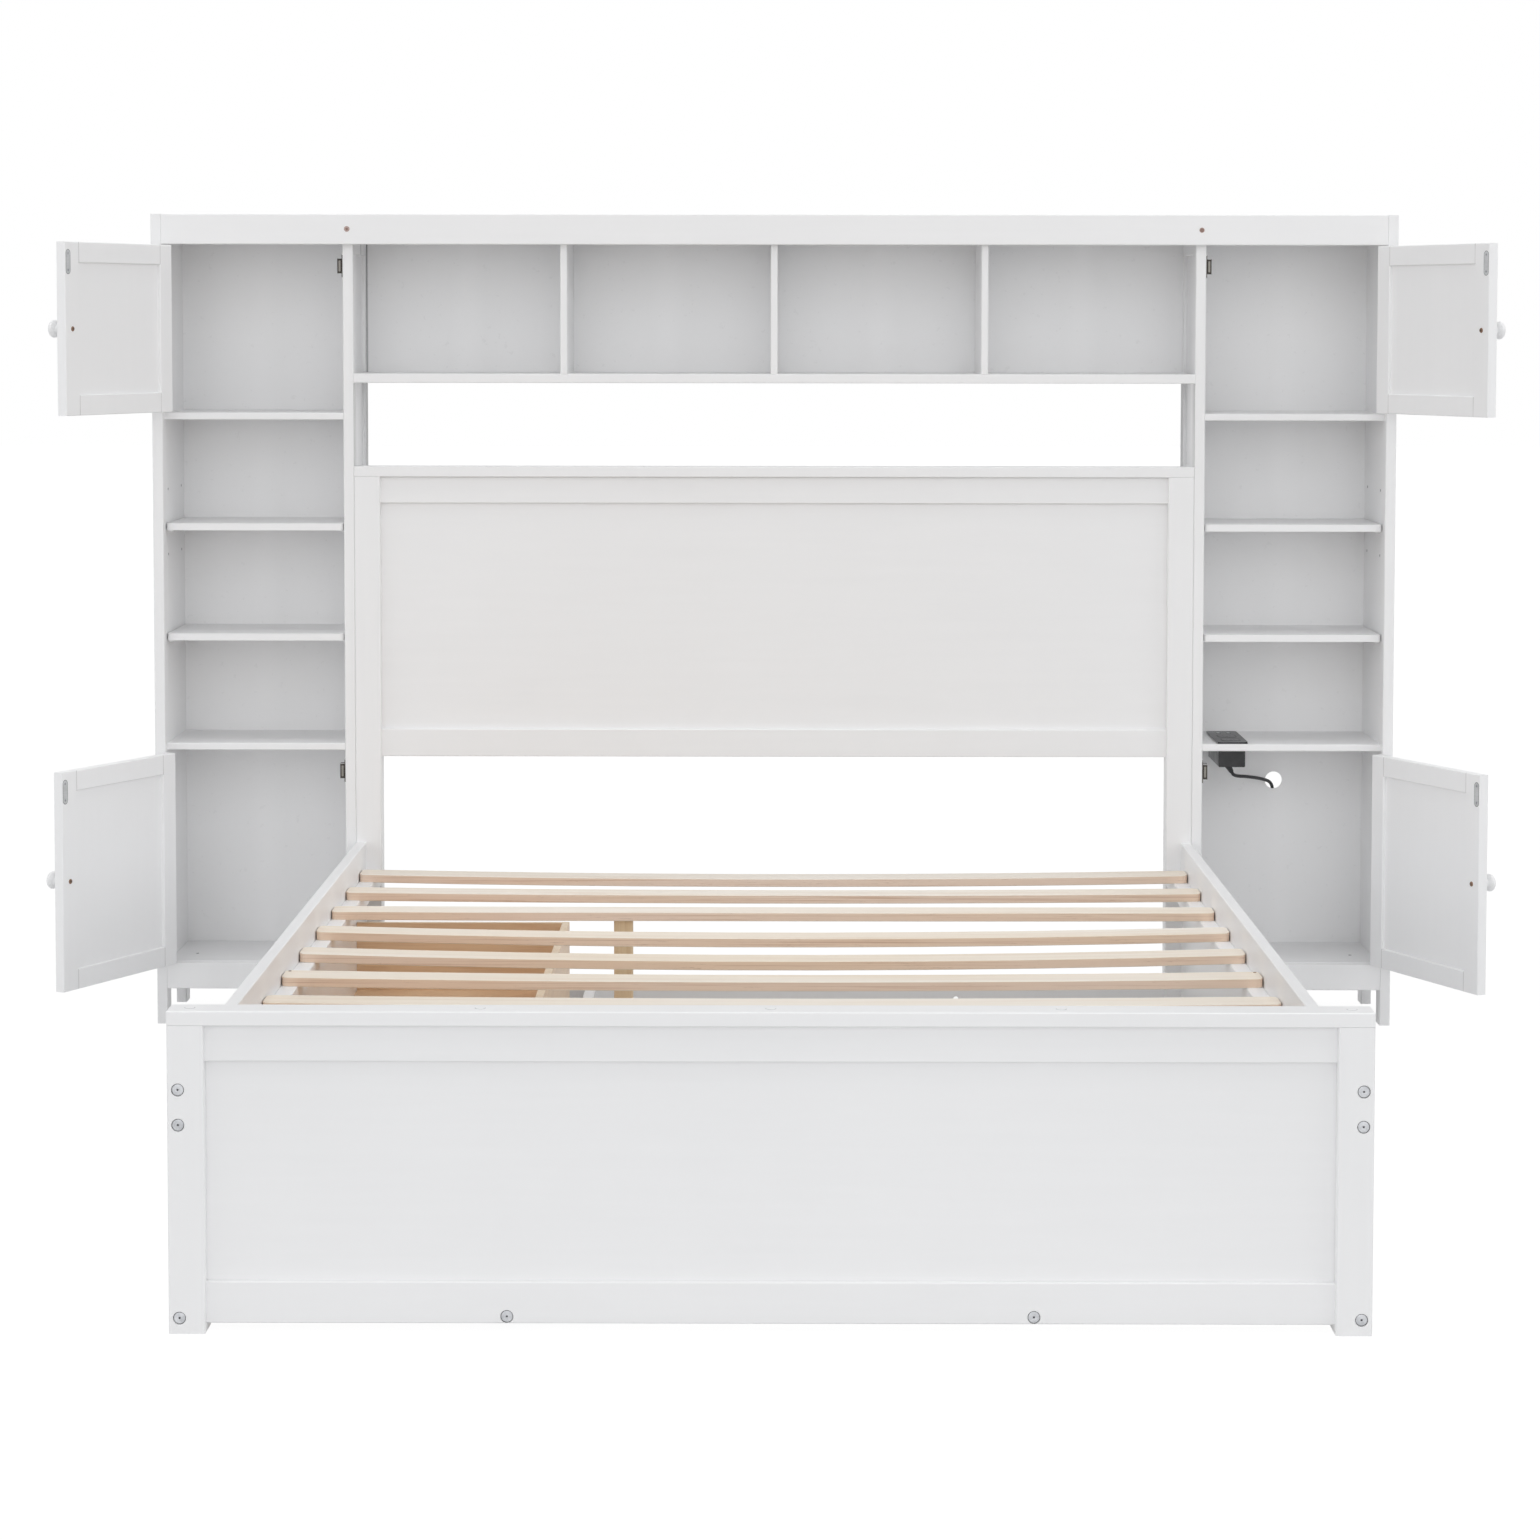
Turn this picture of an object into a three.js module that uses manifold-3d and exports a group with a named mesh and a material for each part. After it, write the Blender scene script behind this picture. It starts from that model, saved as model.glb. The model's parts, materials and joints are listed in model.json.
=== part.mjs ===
// Full-size bed with a storage headboard, in millimetres, +Z up.
// The bed lies between two five-bay towers that a bridge of four cubbies joins above the headboard.
// X runs to the right, Y away from the foot end, and the origin is on the floor under the middle.
import * as THREE from "three";
import { mergeVertices } from "three/addons/utils/BufferGeometryUtils.js";
import Module from "manifold-3d";

const wasm = await Module();
wasm.setup();

// Overall sizes of the bed
const bedWidth = 1458;
const bedLength = 2007;
const headboardHeight = 974;
const footboardHeight = 395;

// Posts, caps and rails of the headboard and footboard
const postWidth = 44;
const postDepth = 46;
const capThickness = 18;
const boardRailThickness = 22;
const railSetback = 10;
const panelSetback = 8;
const bedPanelThickness = 9;
const grooveDepth = 6;
const grooveGap = 0.3;
const headUpperRailHeight = 46;
const headLowerRailBottom = 467;
const headLowerRailHeight = 48;
const footUpperRailHeight = 45;
const bottomRailClearance = 11;
const bottomRailHeight = 51;

// Bolts of the knock-down joints
const boltHoleRadius = 8;
const boltHoleDepth = 4;
const boltEdgeDistance = 13;
const openBoltRadius = 5;
const openBoltHeight = 40;
const upperBoltHeight = 299;
const middleBoltHeight = 256;
const lowerBoltHeight = 19.5;

// Side rails, slats and what carries them
const sideRailThickness = 18;
const sideRailHeight = 80;
const sideRailBottom = 237.5;
const sidePanelInset = 3;
const sidePanelBoard = 12;
const cleatWidth = 25;
const cleatHeight = 25;
const slatCount = 10;
const slatWidth = 57;
const slatThickness = 14;
const slatEndGap = 1.5;
const slatSags = [7, 4, 1, 10, 11, 6, 4, 8, 3, 6];
const slatRise = 41.5;
const slatEdgeRadius = 1;
const slatCornerRadius = 9;
const headSlatMargin = 66;
const footSlatMargin = 38;
const bearerThickness = 18;
const bearerGap = 19.3;
const supportLegSide = 30;
const supportLegGap = 55;
const supportedSlat = 2;

// Drawers of the left side
const drawerEndStile = 134;
const drawerMidStile = 40;
const drawerReveal = 2;
const drawerDepth = 363;
const drawerHeadroom = 36.5;
const drawerBoxRise = 9;
const drawerWall = 12;
const drawerBottomThickness = 6;
const drawerBottomRise = 8;
const drawerSideGap = 8;
const runnerWidth = 24;
const runnerHeight = 24;
const runnerInset = 12;
const drawerKnobShare = 0.22;

// Towers
const towerWidth = 346.7;
const towerDepth = 240;
const towerGap = 0.3;
const towerBoard = 18;
const frontLayer = 18;
const legDepth = 39;
const sideFieldThickness = 12;
const sideRailBand = 50;
const footClearance = 62;
const topBoardThickness = 18;
const fasciaHeight = 52;
const backPanelThickness = 5;
const backPanelInset = 14;
const shelfThickness = 12;
const upperShelfShare = 0.7469;
const highShelfShare = 0.597;
const lowShelfShare = 0.4474;
const lowerShelfShare = 0.2983;
const looseShelfGap = 2;
const looseShelfCorner = 8;
const towerFloorTop = 108;
const towerFloorThickness = 16;
const pinRadius = 2.5;
const pinSides = 8;
const pinReach = 9;
const pinSetback = 32;

// Bridge over the headboard
const bridgeGap = 145;
const cubbyHeight = 257;
const bridgeShelfThickness = 16;
const dividerThickness = 12;
const cubbyCount = 4;

// Doors
const doorReveal = 2;
const hingeGap = 2.6;
const hingeStileWidth = 35;
const freeStileWidth = 39;
const doorOverlap = 5;
const doorRailWidth = 34;
const doorPanelThickness = 6;
const doorTongue = 4;
const upperLeftOpenDegrees = 114;
const lowerLeftOpenDegrees = 117;
const upperRightOpenDegrees = 116;
const lowerRightOpenDegrees = 115;
const hingeLength = 50;
const middleKnuckleShare = 1 / 3;
const hingeEndDistance = 45;
const hingeLeafThickness = 1;
const hingeLeafWidth = 16;
const knuckleRadius = 3.5;
const knuckleGap = 0.4;
const hingePinRadius = 1.5;
const catchReach = 9;
const catchHeight = 27;
const catchDepth = 14;
const catchPlateHeight = 40;
const catchPlateThickness = 1.5;
const catchSetback = 2.5;
const catchDrop = 35;

// Knobs
const knobRadius = 15;
const knobNeckRadius = 7;
const knobLength = 26;
const knobHeadShare = 0.62;
const knobEdgeDistance = 19.5;

// Power socket of the right tower and its cord
const socketWidth = 53;
const socketPlate = 3;
const socketSetback = 8;
const socketRearGap = 25;
const socketInset = 27.2;
const socketBodyWidth = 46.5;
const socketRim = 10;
const socketBodyDepth = 30;
const socketFitGap = 0.6;
const reliefInsetX = 20;
const reliefInsetY = 40.5;
const reliefRadius = 5.5;
const reliefTipRadius = 3.7;
const reliefLength = 22;
const reliefLeanDegrees = 50;
const reliefBearingDegrees = 56.7;
const cordRadius = 3;
const cableHoleRadius = 15.5;
const cableHoleInset = 152;
const cableHoleDrop = 88;
const coilPitch = 6.7;
const coilMeanRadius = 34;
const coilLayerTurns = 2.5;
const coilClimbTurns = 0.5;
const coilStepsPerTurn = 24;
const coilLeadSteps = 4;
const coilCheckReach = 18;
const cordStep = 15;
const plugLength = 34;
const plugWidth = 24;
const plugThickness = 19;
const prongLength = 17;
const prongWidth = 6.3;
const prongThickness = 1.6;
const prongSpacing = 12.7;
const groundPinRadius = 2.4;
const groundPinDrop = 6;

// Free stretch of the cord: off the socket, through the cable hole, down behind the back, to its coil
const cordRoute = [
  [807.13, 942.28, 434.67],
  [811.3, 948.7, 428.6],
  [822, 965, 423.6],
  [837, 987, 420.2],
  [853, 1011, 415.8],
  [868, 1034, 411],
  [880.5, 1053.5, 406.2],
  [888.5, 1066, 402.4],
  [894, 1074.2, 398],
  [897.6, 1080, 391.6],
  [899.6, 1084, 382.8],
  [900, 1085.3, 371],
  [900, 1085.3, 350],
  [900, 1085.3, 300],
  [900, 1085.3, 240],
  [900, 1085.3, 180],
  [900, 1085.3, 120],
  [900, 1085.3, 70],
  [900, 1085.3, 42],
  [900, 1085.1, 29.2],
  [900, 1081.8, 16.6],
  [900, 1072.6, 7.4],
  [900, 1060, 3.9],
  [900, 1045, 3.4],
  [900, 1030, 3.4],
  [900, 1010.3, 3.4],
];

// Small working values
const edgeEase = 1.2;
const glueLap = 0.5;
const touchGap = 0.3;
const overrun = 2;
const weldDistance = 0.001;

// Finishes
const finish = (color, roughness, metalness = 0) =>
  new THREE.MeshStandardMaterial({ color, roughness, metalness, flatShading: true });
const whiteLacquer = finish(0xeeeeee, 0.45);
const backLacquer = finish(0xe4e4e6, 0.35);
const slatWood = finish(0xe9cdb0, 0.7);
const boxWood = finish(0xcf9a68, 0.65);
const blackPlastic = finish(0x1d1d1f, 0.4);

// Planes that several pieces share
const overallDepth = bedLength + towerDepth - frontLayer - postDepth;
const backY = overallDepth / 2;
const towerFrontY = backY - towerDepth;
const headFrontY = towerFrontY + frontLayer;
const footFrontY = -overallDepth / 2;
const footBackY = footFrontY + postDepth;
const bedHalf = bedWidth / 2;
const railInnerX = bedHalf - sideRailThickness;
const boxBackX = railInnerX + touchGap - drawerDepth;
const bearerOffset = boxBackX - bearerGap - bearerThickness / 2;
const supportLegOffset = bearerOffset - bearerThickness / 2 - supportLegGap - supportLegSide / 2;
const innerSideX = bedHalf + towerGap;
const innerBoardX = innerSideX + towerBoard;
const towerOuterX = innerSideX + towerWidth;
const towerInnerX = towerOuterX - towerBoard;
const panelFrontY = backY - backPanelInset - backPanelThickness;
const panelBackY = backY - backPanelInset;
const bridgeShelfTop = headboardHeight + bridgeGap + bridgeShelfThickness;
const topBoardBottom = bridgeShelfTop + cubbyHeight;
const towerHeight = topBoardBottom + topBoardThickness;
const fasciaBottom = towerHeight - fasciaHeight;
const towerFloorBottom = towerFloorTop - towerFloorThickness;
const shelfTopAt = (share) => towerFloorTop + share * (topBoardBottom - towerFloorTop);
const upperShelfTop = shelfTopAt(upperShelfShare);
const highShelfTop = shelfTopAt(highShelfShare);
const lowShelfTop = shelfTopAt(lowShelfShare);
const lowerShelfTop = shelfTopAt(lowerShelfShare);

const bed = new THREE.Group();

// Solids and geometries
function solid(geometry) {
  const bare = geometry.clone();
  bare.deleteAttribute("normal");
  bare.deleteAttribute("uv");
  const merged = mergeVertices(bare, weldDistance);
  return new wasm.Manifold(
    new wasm.Mesh({
      numProp: 3,
      vertProperties: merged.attributes.position.array,
      triVerts: new Uint32Array(merged.index.array),
    }),
  );
}

function geometryOf(body) {
  const mesh = body.getMesh();
  const geometry = new THREE.BufferGeometry();
  geometry.setAttribute("position", new THREE.BufferAttribute(mesh.vertProperties, 3));
  geometry.setIndex(new THREE.BufferAttribute(mesh.triVerts, 1));
  geometry.computeVertexNormals();
  return geometry;
}

function join(...geometries) {
  return geometryOf(geometries.map(solid).reduce((whole, next) => whole.add(next)));
}

function cut(geometry, ...tools) {
  return geometryOf(tools.map(solid).reduce((whole, tool) => whole.subtract(tool), solid(geometry)));
}

function addPiece(name, geometry, material, parent = bed) {
  const mesh = new THREE.Mesh(geometry, material);
  mesh.name = name;
  parent.add(mesh);
}

// Cross-section axes and the turn that lays an extrusion along each axis
const unitX = new THREE.Vector3(1, 0, 0);
const unitY = new THREE.Vector3(0, 1, 0);
const unitZ = new THREE.Vector3(0, 0, 1);
const layings = {
  x: { cross: [1, 2], length: 0, turn: new THREE.Matrix4().makeBasis(unitY, unitZ, unitX) },
  y: { cross: [2, 0], length: 1, turn: new THREE.Matrix4().makeBasis(unitZ, unitX, unitY) },
  z: { cross: [0, 1], length: 2, turn: new THREE.Matrix4() },
};

function easedRectangle(u0, u1, v0, v1, ease) {
  const outline = new THREE.Shape();
  outline.moveTo(u0 + ease, v0);
  outline.lineTo(u1 - ease, v0);
  outline.lineTo(u1, v0 + ease);
  outline.lineTo(u1, v1 - ease);
  outline.lineTo(u1 - ease, v1);
  outline.lineTo(u0 + ease, v1);
  outline.lineTo(u0, v1 - ease);
  outline.lineTo(u0, v0 + ease);
  outline.closePath();
  return outline;
}

// An outline drawn at its true place, extruded from one plane to another along an axis
function extrudeBetween(outline, along, start, end) {
  const geometry = new THREE.ExtrudeGeometry(outline, { depth: 1, bevelEnabled: false });
  const position = geometry.getAttribute("position");
  for (let i = 0; i < position.count; i += 1) {
    position.setZ(i, position.getZ(i) > 0 ? end : start);
  }
  return geometry.applyMatrix4(layings[along].turn);
}

// A board between two corners, with eased edges along its length
function board(low, high, along = "x", ease = edgeEase) {
  const { cross, length } = layings[along];
  const [u, v] = cross;
  const outline = easedRectangle(low[u], high[u], low[v], high[v], ease);
  return extrudeBetween(outline, along, low[length], high[length]);
}

// A plain rectangle, drawn the same way round whatever its place
function rectangle(path, u0, u1, v0, v1) {
  path.moveTo(u0, v0);
  path.lineTo(u1, v0);
  path.lineTo(u1, v1);
  path.lineTo(u0, v1);
  path.closePath();
  return path;
}

function block(low, high) {
  const outline = rectangle(new THREE.Shape(), low[0], high[0], low[1], high[1]);
  return extrudeBetween(outline, "z", low[2], high[2]);
}

// Distances from the middle, as a span of X on the left (side -1) or the right (side 1)
function sideSpan(side, near, far) {
  return side > 0 ? [near, far] : [-far, -near];
}

function sideBoard(side, low, high, along = "x", ease = edgeEase) {
  const [start, end] = sideSpan(side, low[0], high[0]);
  return board([start, low[1], low[2]], [end, high[1], high[2]], along, ease);
}

// A round bar along an axis, centred on a point of the other two axes
function rod(centre, along, start, end, radius, sides) {
  const { cross } = layings[along];
  const outline = new THREE.Shape();
  for (let i = 0; i < sides; i += 1) {
    const angle = ((i + 0.5) * 2 * Math.PI) / sides;
    const u = centre[cross[0]] + radius * Math.cos(angle);
    const v = centre[cross[1]] + radius * Math.sin(angle);
    if (i === 0) outline.moveTo(u, v);
    else outline.lineTo(u, v);
  }
  outline.closePath();
  return extrudeBetween(outline, along, start, end);
}

// A bolt hole in a front face, at a place across and up
function boltHole(x, z, frontY) {
  return rod([x, frontY, z], "y", frontY - overrun, frontY + boltHoleDepth, boltHoleRadius, 16);
}

// Headboard and footboard: two posts, rails, a panel in grooves and a cap
const headRailY = [headFrontY + railSetback, headFrontY + railSetback + boardRailThickness];
const footRailY = [footFrontY + railSetback, footFrontY + railSetback + boardRailThickness];
const bottomRailTop = bottomRailClearance + bottomRailHeight;
const postInnerX = bedHalf - postWidth;

function boltColumn(side, heights, frontY) {
  return heights.map((height) => boltHole(side * (bedHalf - boltEdgeDistance), height, frontY));
}

function makePost(name, side, frontY, top, panelSpan, bolts) {
  const body = sideBoard(side, [postInnerX, frontY, 0], [bedHalf, frontY + postDepth, top], "z");
  const [panelLow, panelHigh] = panelSpan;
  const grooveFront = frontY + railSetback + panelSetback - grooveGap;
  const grooveBack = frontY + railSetback + panelSetback + bedPanelThickness + grooveGap;
  const groove = sideBoard(
    side,
    [postInnerX - overrun, grooveFront, panelLow - grooveDepth],
    [postInnerX + grooveDepth, grooveBack, panelHigh + grooveDepth],
    "z",
    0,
  );
  addPiece(name, cut(body, groove, ...bolts), whiteLacquer);
}

function makeRail(name, spanY, bottom, top, grooves, bolts = []) {
  const body = board([-postInnerX, spanY[0], bottom], [postInnerX, spanY[1], top]);
  const grooveFront = spanY[0] + panelSetback - grooveGap;
  const grooveBack = spanY[0] + panelSetback + bedPanelThickness + grooveGap;
  const tools = grooves.map(([low, high]) =>
    block([-postInnerX - overrun, grooveFront, low], [postInnerX + overrun, grooveBack, high]),
  );
  const cuts = [...tools, ...bolts];
  addPiece(name, cuts.length ? cut(body, ...cuts) : body, whiteLacquer);
}

function makePanel(name, spanY, low, high) {
  const reach = grooveDepth - grooveGap;
  const front = spanY[0] + panelSetback;
  addPiece(
    name,
    block(
      [-postInnerX - reach, front, low - reach],
      [postInnerX + reach, front + bedPanelThickness, high + reach],
    ),
    whiteLacquer,
  );
}

function makeHeadboard() {
  const capBottom = headboardHeight - capThickness;
  const upperRailBottom = capBottom - headUpperRailHeight;
  const lowerRailTop = headLowerRailBottom + headLowerRailHeight;
  for (const [word, side] of [["left", -1], ["right", 1]]) {
    makePost(`headboard_post_${word}`, side, headFrontY, capBottom, [lowerRailTop, upperRailBottom], []);
  }
  makeRail("headboard_upper_rail", headRailY, upperRailBottom, capBottom, [
    [upperRailBottom - overrun, upperRailBottom + grooveDepth],
  ]);
  makePanel("headboard_panel", headRailY, lowerRailTop, upperRailBottom);
  makeRail("headboard_lower_rail", headRailY, headLowerRailBottom, lowerRailTop, [
    [lowerRailTop - grooveDepth, lowerRailTop + overrun],
  ]);
  const [start, end] = [headRailY[0] - overrun, headRailY[1] + overrun];
  const holes = [-1, 1].map((side) =>
    rod([side * bearerOffset, 0, openBoltHeight], "y", start, end, openBoltRadius, 16),
  );
  makeRail("headboard_bottom_rail", headRailY, bottomRailClearance, bottomRailTop, [], holes);
  addPiece(
    "headboard_cap",
    board([-bedHalf, headFrontY, capBottom], [bedHalf, headFrontY + postDepth, headboardHeight]),
    whiteLacquer,
  );
}

function makeFootboard() {
  const capBottom = footboardHeight - capThickness;
  const upperRailBottom = capBottom - footUpperRailHeight;
  const heights = [upperBoltHeight, middleBoltHeight, lowerBoltHeight];
  for (const [word, side] of [["left", -1], ["right", 1]]) {
    const bolts = boltColumn(side, heights, footFrontY);
    makePost(`footboard_post_${word}`, side, footFrontY, capBottom, [bottomRailTop, upperRailBottom], bolts);
  }
  makeRail("footboard_upper_rail", footRailY, upperRailBottom, capBottom, [
    [upperRailBottom - overrun, upperRailBottom + grooveDepth],
  ]);
  makePanel("footboard_panel", footRailY, bottomRailTop, upperRailBottom);
  const bolts = [-1, 1].map((side) => boltHole(side * bearerOffset, lowerBoltHeight, footRailY[0]));
  const groove = [[bottomRailTop - grooveDepth, bottomRailTop + overrun]];
  makeRail("footboard_lower_rail", footRailY, bottomRailClearance, bottomRailTop, groove, bolts);
  addPiece(
    "footboard_cap",
    board([-bedHalf, footFrontY, capBottom], [bedHalf, footFrontY + postDepth, footboardHeight]),
    whiteLacquer,
  );
}

// Slats, sagging a little in the middle, on a cleat along each side rail
const slatLength = 2 * (railInnerX - slatEndGap);
const slatTop = sideRailBottom + slatRise;
const slatBottom = slatTop - slatThickness;
const slatRun = headFrontY - footBackY - headSlatMargin - footSlatMargin - slatWidth;
const slatPitch = slatRun / (slatCount - 1);
const slatBackY = (index) => headFrontY - headSlatMargin - index * slatPitch;
const cleatInnerX = railInnerX - cleatWidth;
// Drop of a slat at a place across, none where it meets the inner edge of its cleat
const sagAt = (index, x) =>
  (slatSags[index % slatSags.length] * (cleatInnerX ** 2 - x ** 2)) / (slatLength / 2) ** 2;

// Places along a slat where its section is set, from end to end, closer together round the corners
function slatStations() {
  const bendSteps = 9;
  const half = slatLength / 2 - slatCornerRadius;
  const turns = [Math.PI / 2, Math.PI / 3, Math.PI / 6];
  const corner = turns.map((turn) => half + slatCornerRadius * Math.sin(turn));
  const bend = Array.from({ length: bendSteps + 1 }, (_, i) => half - (2 * half * i) / bendSteps);
  return [...corner, ...bend, ...corner.map((x) => -x).reverse()].reverse();
}

function slat(index) {
  const stations = slatStations();
  const steps = stations.length - 1;
  const half = slatWidth / 2;
  const outline = easedRectangle(-half, half, slatBottom, slatTop, slatEdgeRadius);
  const geometry = new THREE.ExtrudeGeometry(outline, { depth: 1, steps, bevelEnabled: false });
  const position = geometry.getAttribute("position");
  for (let i = 0; i < position.count; i += 1) {
    const x = stations[Math.round(position.getZ(i) * steps)];
    const past = Math.min(Math.max(Math.abs(x) - slatLength / 2 + slatCornerRadius, 0), slatCornerRadius);
    const corner = slatCornerRadius - Math.sqrt(slatCornerRadius ** 2 - past ** 2);
    const y = slatBackY(index) - half + (1 - corner / half) * position.getX(i);
    position.setXYZ(i, y, position.getY(i) - sagAt(index, x), x);
  }
  return geometry.applyMatrix4(layings.x.turn);
}

function makeSlatDeck() {
  const cleats = [-1, 1].map((side) =>
    sideBoard(
      side,
      [cleatInnerX, footBackY, slatBottom - cleatHeight + glueLap],
      [railInnerX, headFrontY, slatBottom + glueLap],
      "y",
    ),
  );
  const slats = Array.from({ length: slatCount }, (_, index) => slat(index));
  addPiece("slat_deck", join(...cleats, ...slats), slatWood);
}

function makeBedBase() {
  for (const [word, side] of [["left", -1], ["right", 1]]) {
    addPiece(
      `side_rail_${word}`,
      sideBoard(
        side,
        [railInnerX, footBackY, sideRailBottom],
        [bedHalf, headFrontY, sideRailBottom + sideRailHeight],
        "y",
      ),
      whiteLacquer,
    );
  }
  addPiece(
    "right_side_panel",
    board(
      [bedHalf - sidePanelInset - sidePanelBoard, footBackY, bottomRailClearance],
      [bedHalf - sidePanelInset, headFrontY, sideRailBottom],
      "y",
    ),
    whiteLacquer,
  );
  const legX = -supportLegOffset;
  const legY = slatBackY(supportedSlat) - slatWidth / 2;
  const half = supportLegSide / 2;
  const sagHere = sagAt(supportedSlat, supportLegOffset - half);
  addPiece(
    "slat_support_leg",
    board([legX - half, legY - half, 0], [legX + half, legY + half, slatBottom - sagHere - touchGap], "z"),
    slatWood,
  );
}

// Face frame of the left side, with its two drawer openings
const drawerOpening = (headFrontY - footBackY - 2 * drawerEndStile - drawerMidStile) / 2;
const openingStarts = [headFrontY - drawerEndStile - drawerOpening, footBackY + drawerEndStile];
const boxBottom = bottomRailTop + drawerBoxRise;
const boxTop = sideRailBottom - drawerHeadroom;

function makeDrawerFrame() {
  const low = -bedHalf;
  const high = -railInnerX;
  const stile = (start, end) =>
    board([low, start, bottomRailTop - glueLap], [high, end, sideRailBottom], "z", 0);
  addPiece(
    "left_drawer_frame",
    join(
      board([low, footBackY, bottomRailClearance], [high, headFrontY, bottomRailTop], "y"),
      stile(footBackY, openingStarts[1]),
      stile(openingStarts[1] + drawerOpening, openingStarts[0]),
      stile(openingStarts[0] + drawerOpening, headFrontY),
    ),
    whiteLacquer,
  );
}

// Lower bearer with the four cross runners that the drawers slide on
function makeRunnerFrame() {
  const bearerLow = -bearerOffset - bearerThickness / 2;
  const bearerHigh = -bearerOffset + bearerThickness / 2;
  const runnerTop = boxBottom - touchGap;
  const runners = openingStarts.flatMap((start) => {
    const near = start + drawerSideGap + runnerInset;
    const far = start + drawerOpening - drawerSideGap - runnerInset - runnerWidth;
    return [near, far].map((y) =>
      board(
        [-railInnerX, y, runnerTop - runnerHeight],
        [bearerLow + glueLap, y + runnerWidth, runnerTop],
        "x",
      ),
    );
  });
  const bearer = board(
    [bearerLow, footRailY[1], bottomRailClearance],
    [bearerHigh, headRailY[0], bottomRailTop],
    "y",
  );
  addPiece("drawer_runner_frame", join(bearer, ...runners), slatWood);
}

// Turned knob, standing at the origin and pointing along Y
function knob() {
  const headLength = knobLength * knobHeadShare;
  const neckLength = knobLength - headLength;
  const points = [new THREE.Vector2(0, 0), new THREE.Vector2(knobNeckRadius, 0)];
  const steps = 7;
  for (let i = 0; i <= steps; i += 1) {
    const angle = -Math.PI / 3 + (i * (Math.PI / 2 + Math.PI / 3)) / steps;
    const reach = i === steps ? 0 : knobRadius * Math.cos(angle);
    const rise = (headLength / 2) * Math.sin(angle);
    points.push(new THREE.Vector2(reach, neckLength + headLength / 2 + rise));
  }
  return new THREE.LatheGeometry(points, 16);
}

function makeDrawer(word, start) {
  const frontLow = start + drawerReveal;
  const frontHigh = start + drawerOpening - drawerReveal;
  const face = board(
    [-bedHalf, frontLow, bottomRailTop + drawerReveal],
    [-railInnerX - touchGap, frontHigh, sideRailBottom - drawerReveal],
    "y",
  );
  const height = (bottomRailTop + sideRailBottom) / 2;
  const knobs = [drawerKnobShare, 1 - drawerKnobShare].map((share) =>
    knob()
      .rotateZ(Math.PI / 2)
      .translate(-bedHalf + glueLap, frontLow + share * (frontHigh - frontLow), height),
  );
  addPiece(`drawer_${word}_front`, join(face, ...knobs), whiteLacquer);
  const low = [-railInnerX, start + drawerSideGap, boxBottom];
  const high = [-boxBackX, start + drawerOpening - drawerSideGap, boxTop];
  const hollow = block(
    [low[0] - overrun, low[1] + drawerWall, boxBottom + drawerBottomRise + drawerBottomThickness],
    [high[0] - drawerWall, high[1] - drawerWall, high[2] + overrun],
  );
  const underside = block(
    [low[0] - overrun, low[1] + drawerWall, low[2] - overrun],
    [high[0] - drawerWall, high[1] - drawerWall, boxBottom + drawerBottomRise],
  );
  addPiece(`drawer_${word}_box`, cut(board(low, high, "z"), hollow, underside), boxWood);
}

// Tower sides: two stiles that end as legs, a thinner field between them and rails above and below
function makeTowerSide(name, side, [low, high], [fieldLow, fieldHigh], frontY, top, fittings) {
  const stile = (start, end) => sideBoard(side, [low, start, 0], [high, end, top], "z");
  const band = (start, end) =>
    sideBoard(
      side,
      [low, frontY + legDepth - glueLap, start],
      [high, backY - legDepth + glueLap, end],
      "y",
    );
  const field = sideBoard(
    side,
    [fieldLow, frontY + legDepth - glueLap, footClearance + glueLap],
    [fieldHigh, backY - legDepth + glueLap, top - glueLap],
    "z",
    0,
  );
  const body = join(
    stile(frontY, frontY + legDepth),
    stile(backY - legDepth, backY),
    band(footClearance, footClearance + sideRailBand),
    band(top - sideRailBand, top),
    field,
    ...fittings,
  );
  addPiece(name, body, whiteLacquer);
}

// Shelf pins on a face that looks along a direction (1 away from the middle, -1 towards it)
function shelfPins(side, faceX, direction, frontY) {
  const places = [frontY + pinSetback, panelFrontY - pinSetback];
  const tops = [highShelfTop, lowShelfTop];
  return tops.flatMap((top) =>
    places.map((y) => {
      const height = top - shelfThickness - touchGap - pinRadius * Math.cos(Math.PI / pinSides);
      const ends = [side * (faceX - direction * glueLap), side * (faceX + direction * pinReach)];
      return rod([0, y, height], "x", Math.min(...ends), Math.max(...ends), pinRadius, pinSides);
    }),
  );
}

// Butt hinges: fixed knuckles, leaf and pin on the tower side, the middle knuckle and leaf on the door
const hingeAxisX = towerInnerX - hingeGap / 2;
const hingeAxisY = towerFrontY - knuckleRadius - knuckleGap;

function doorSpan(level) {
  return level === "upper"
    ? [upperShelfTop + doorReveal, fasciaBottom - doorReveal]
    : [towerFloorTop + doorReveal / 2, lowerShelfTop - shelfThickness - doorReveal];
}

function hingeCentres(level) {
  const [low, high] = doorSpan(level);
  return [low + hingeEndDistance, high - hingeEndDistance];
}

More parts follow.
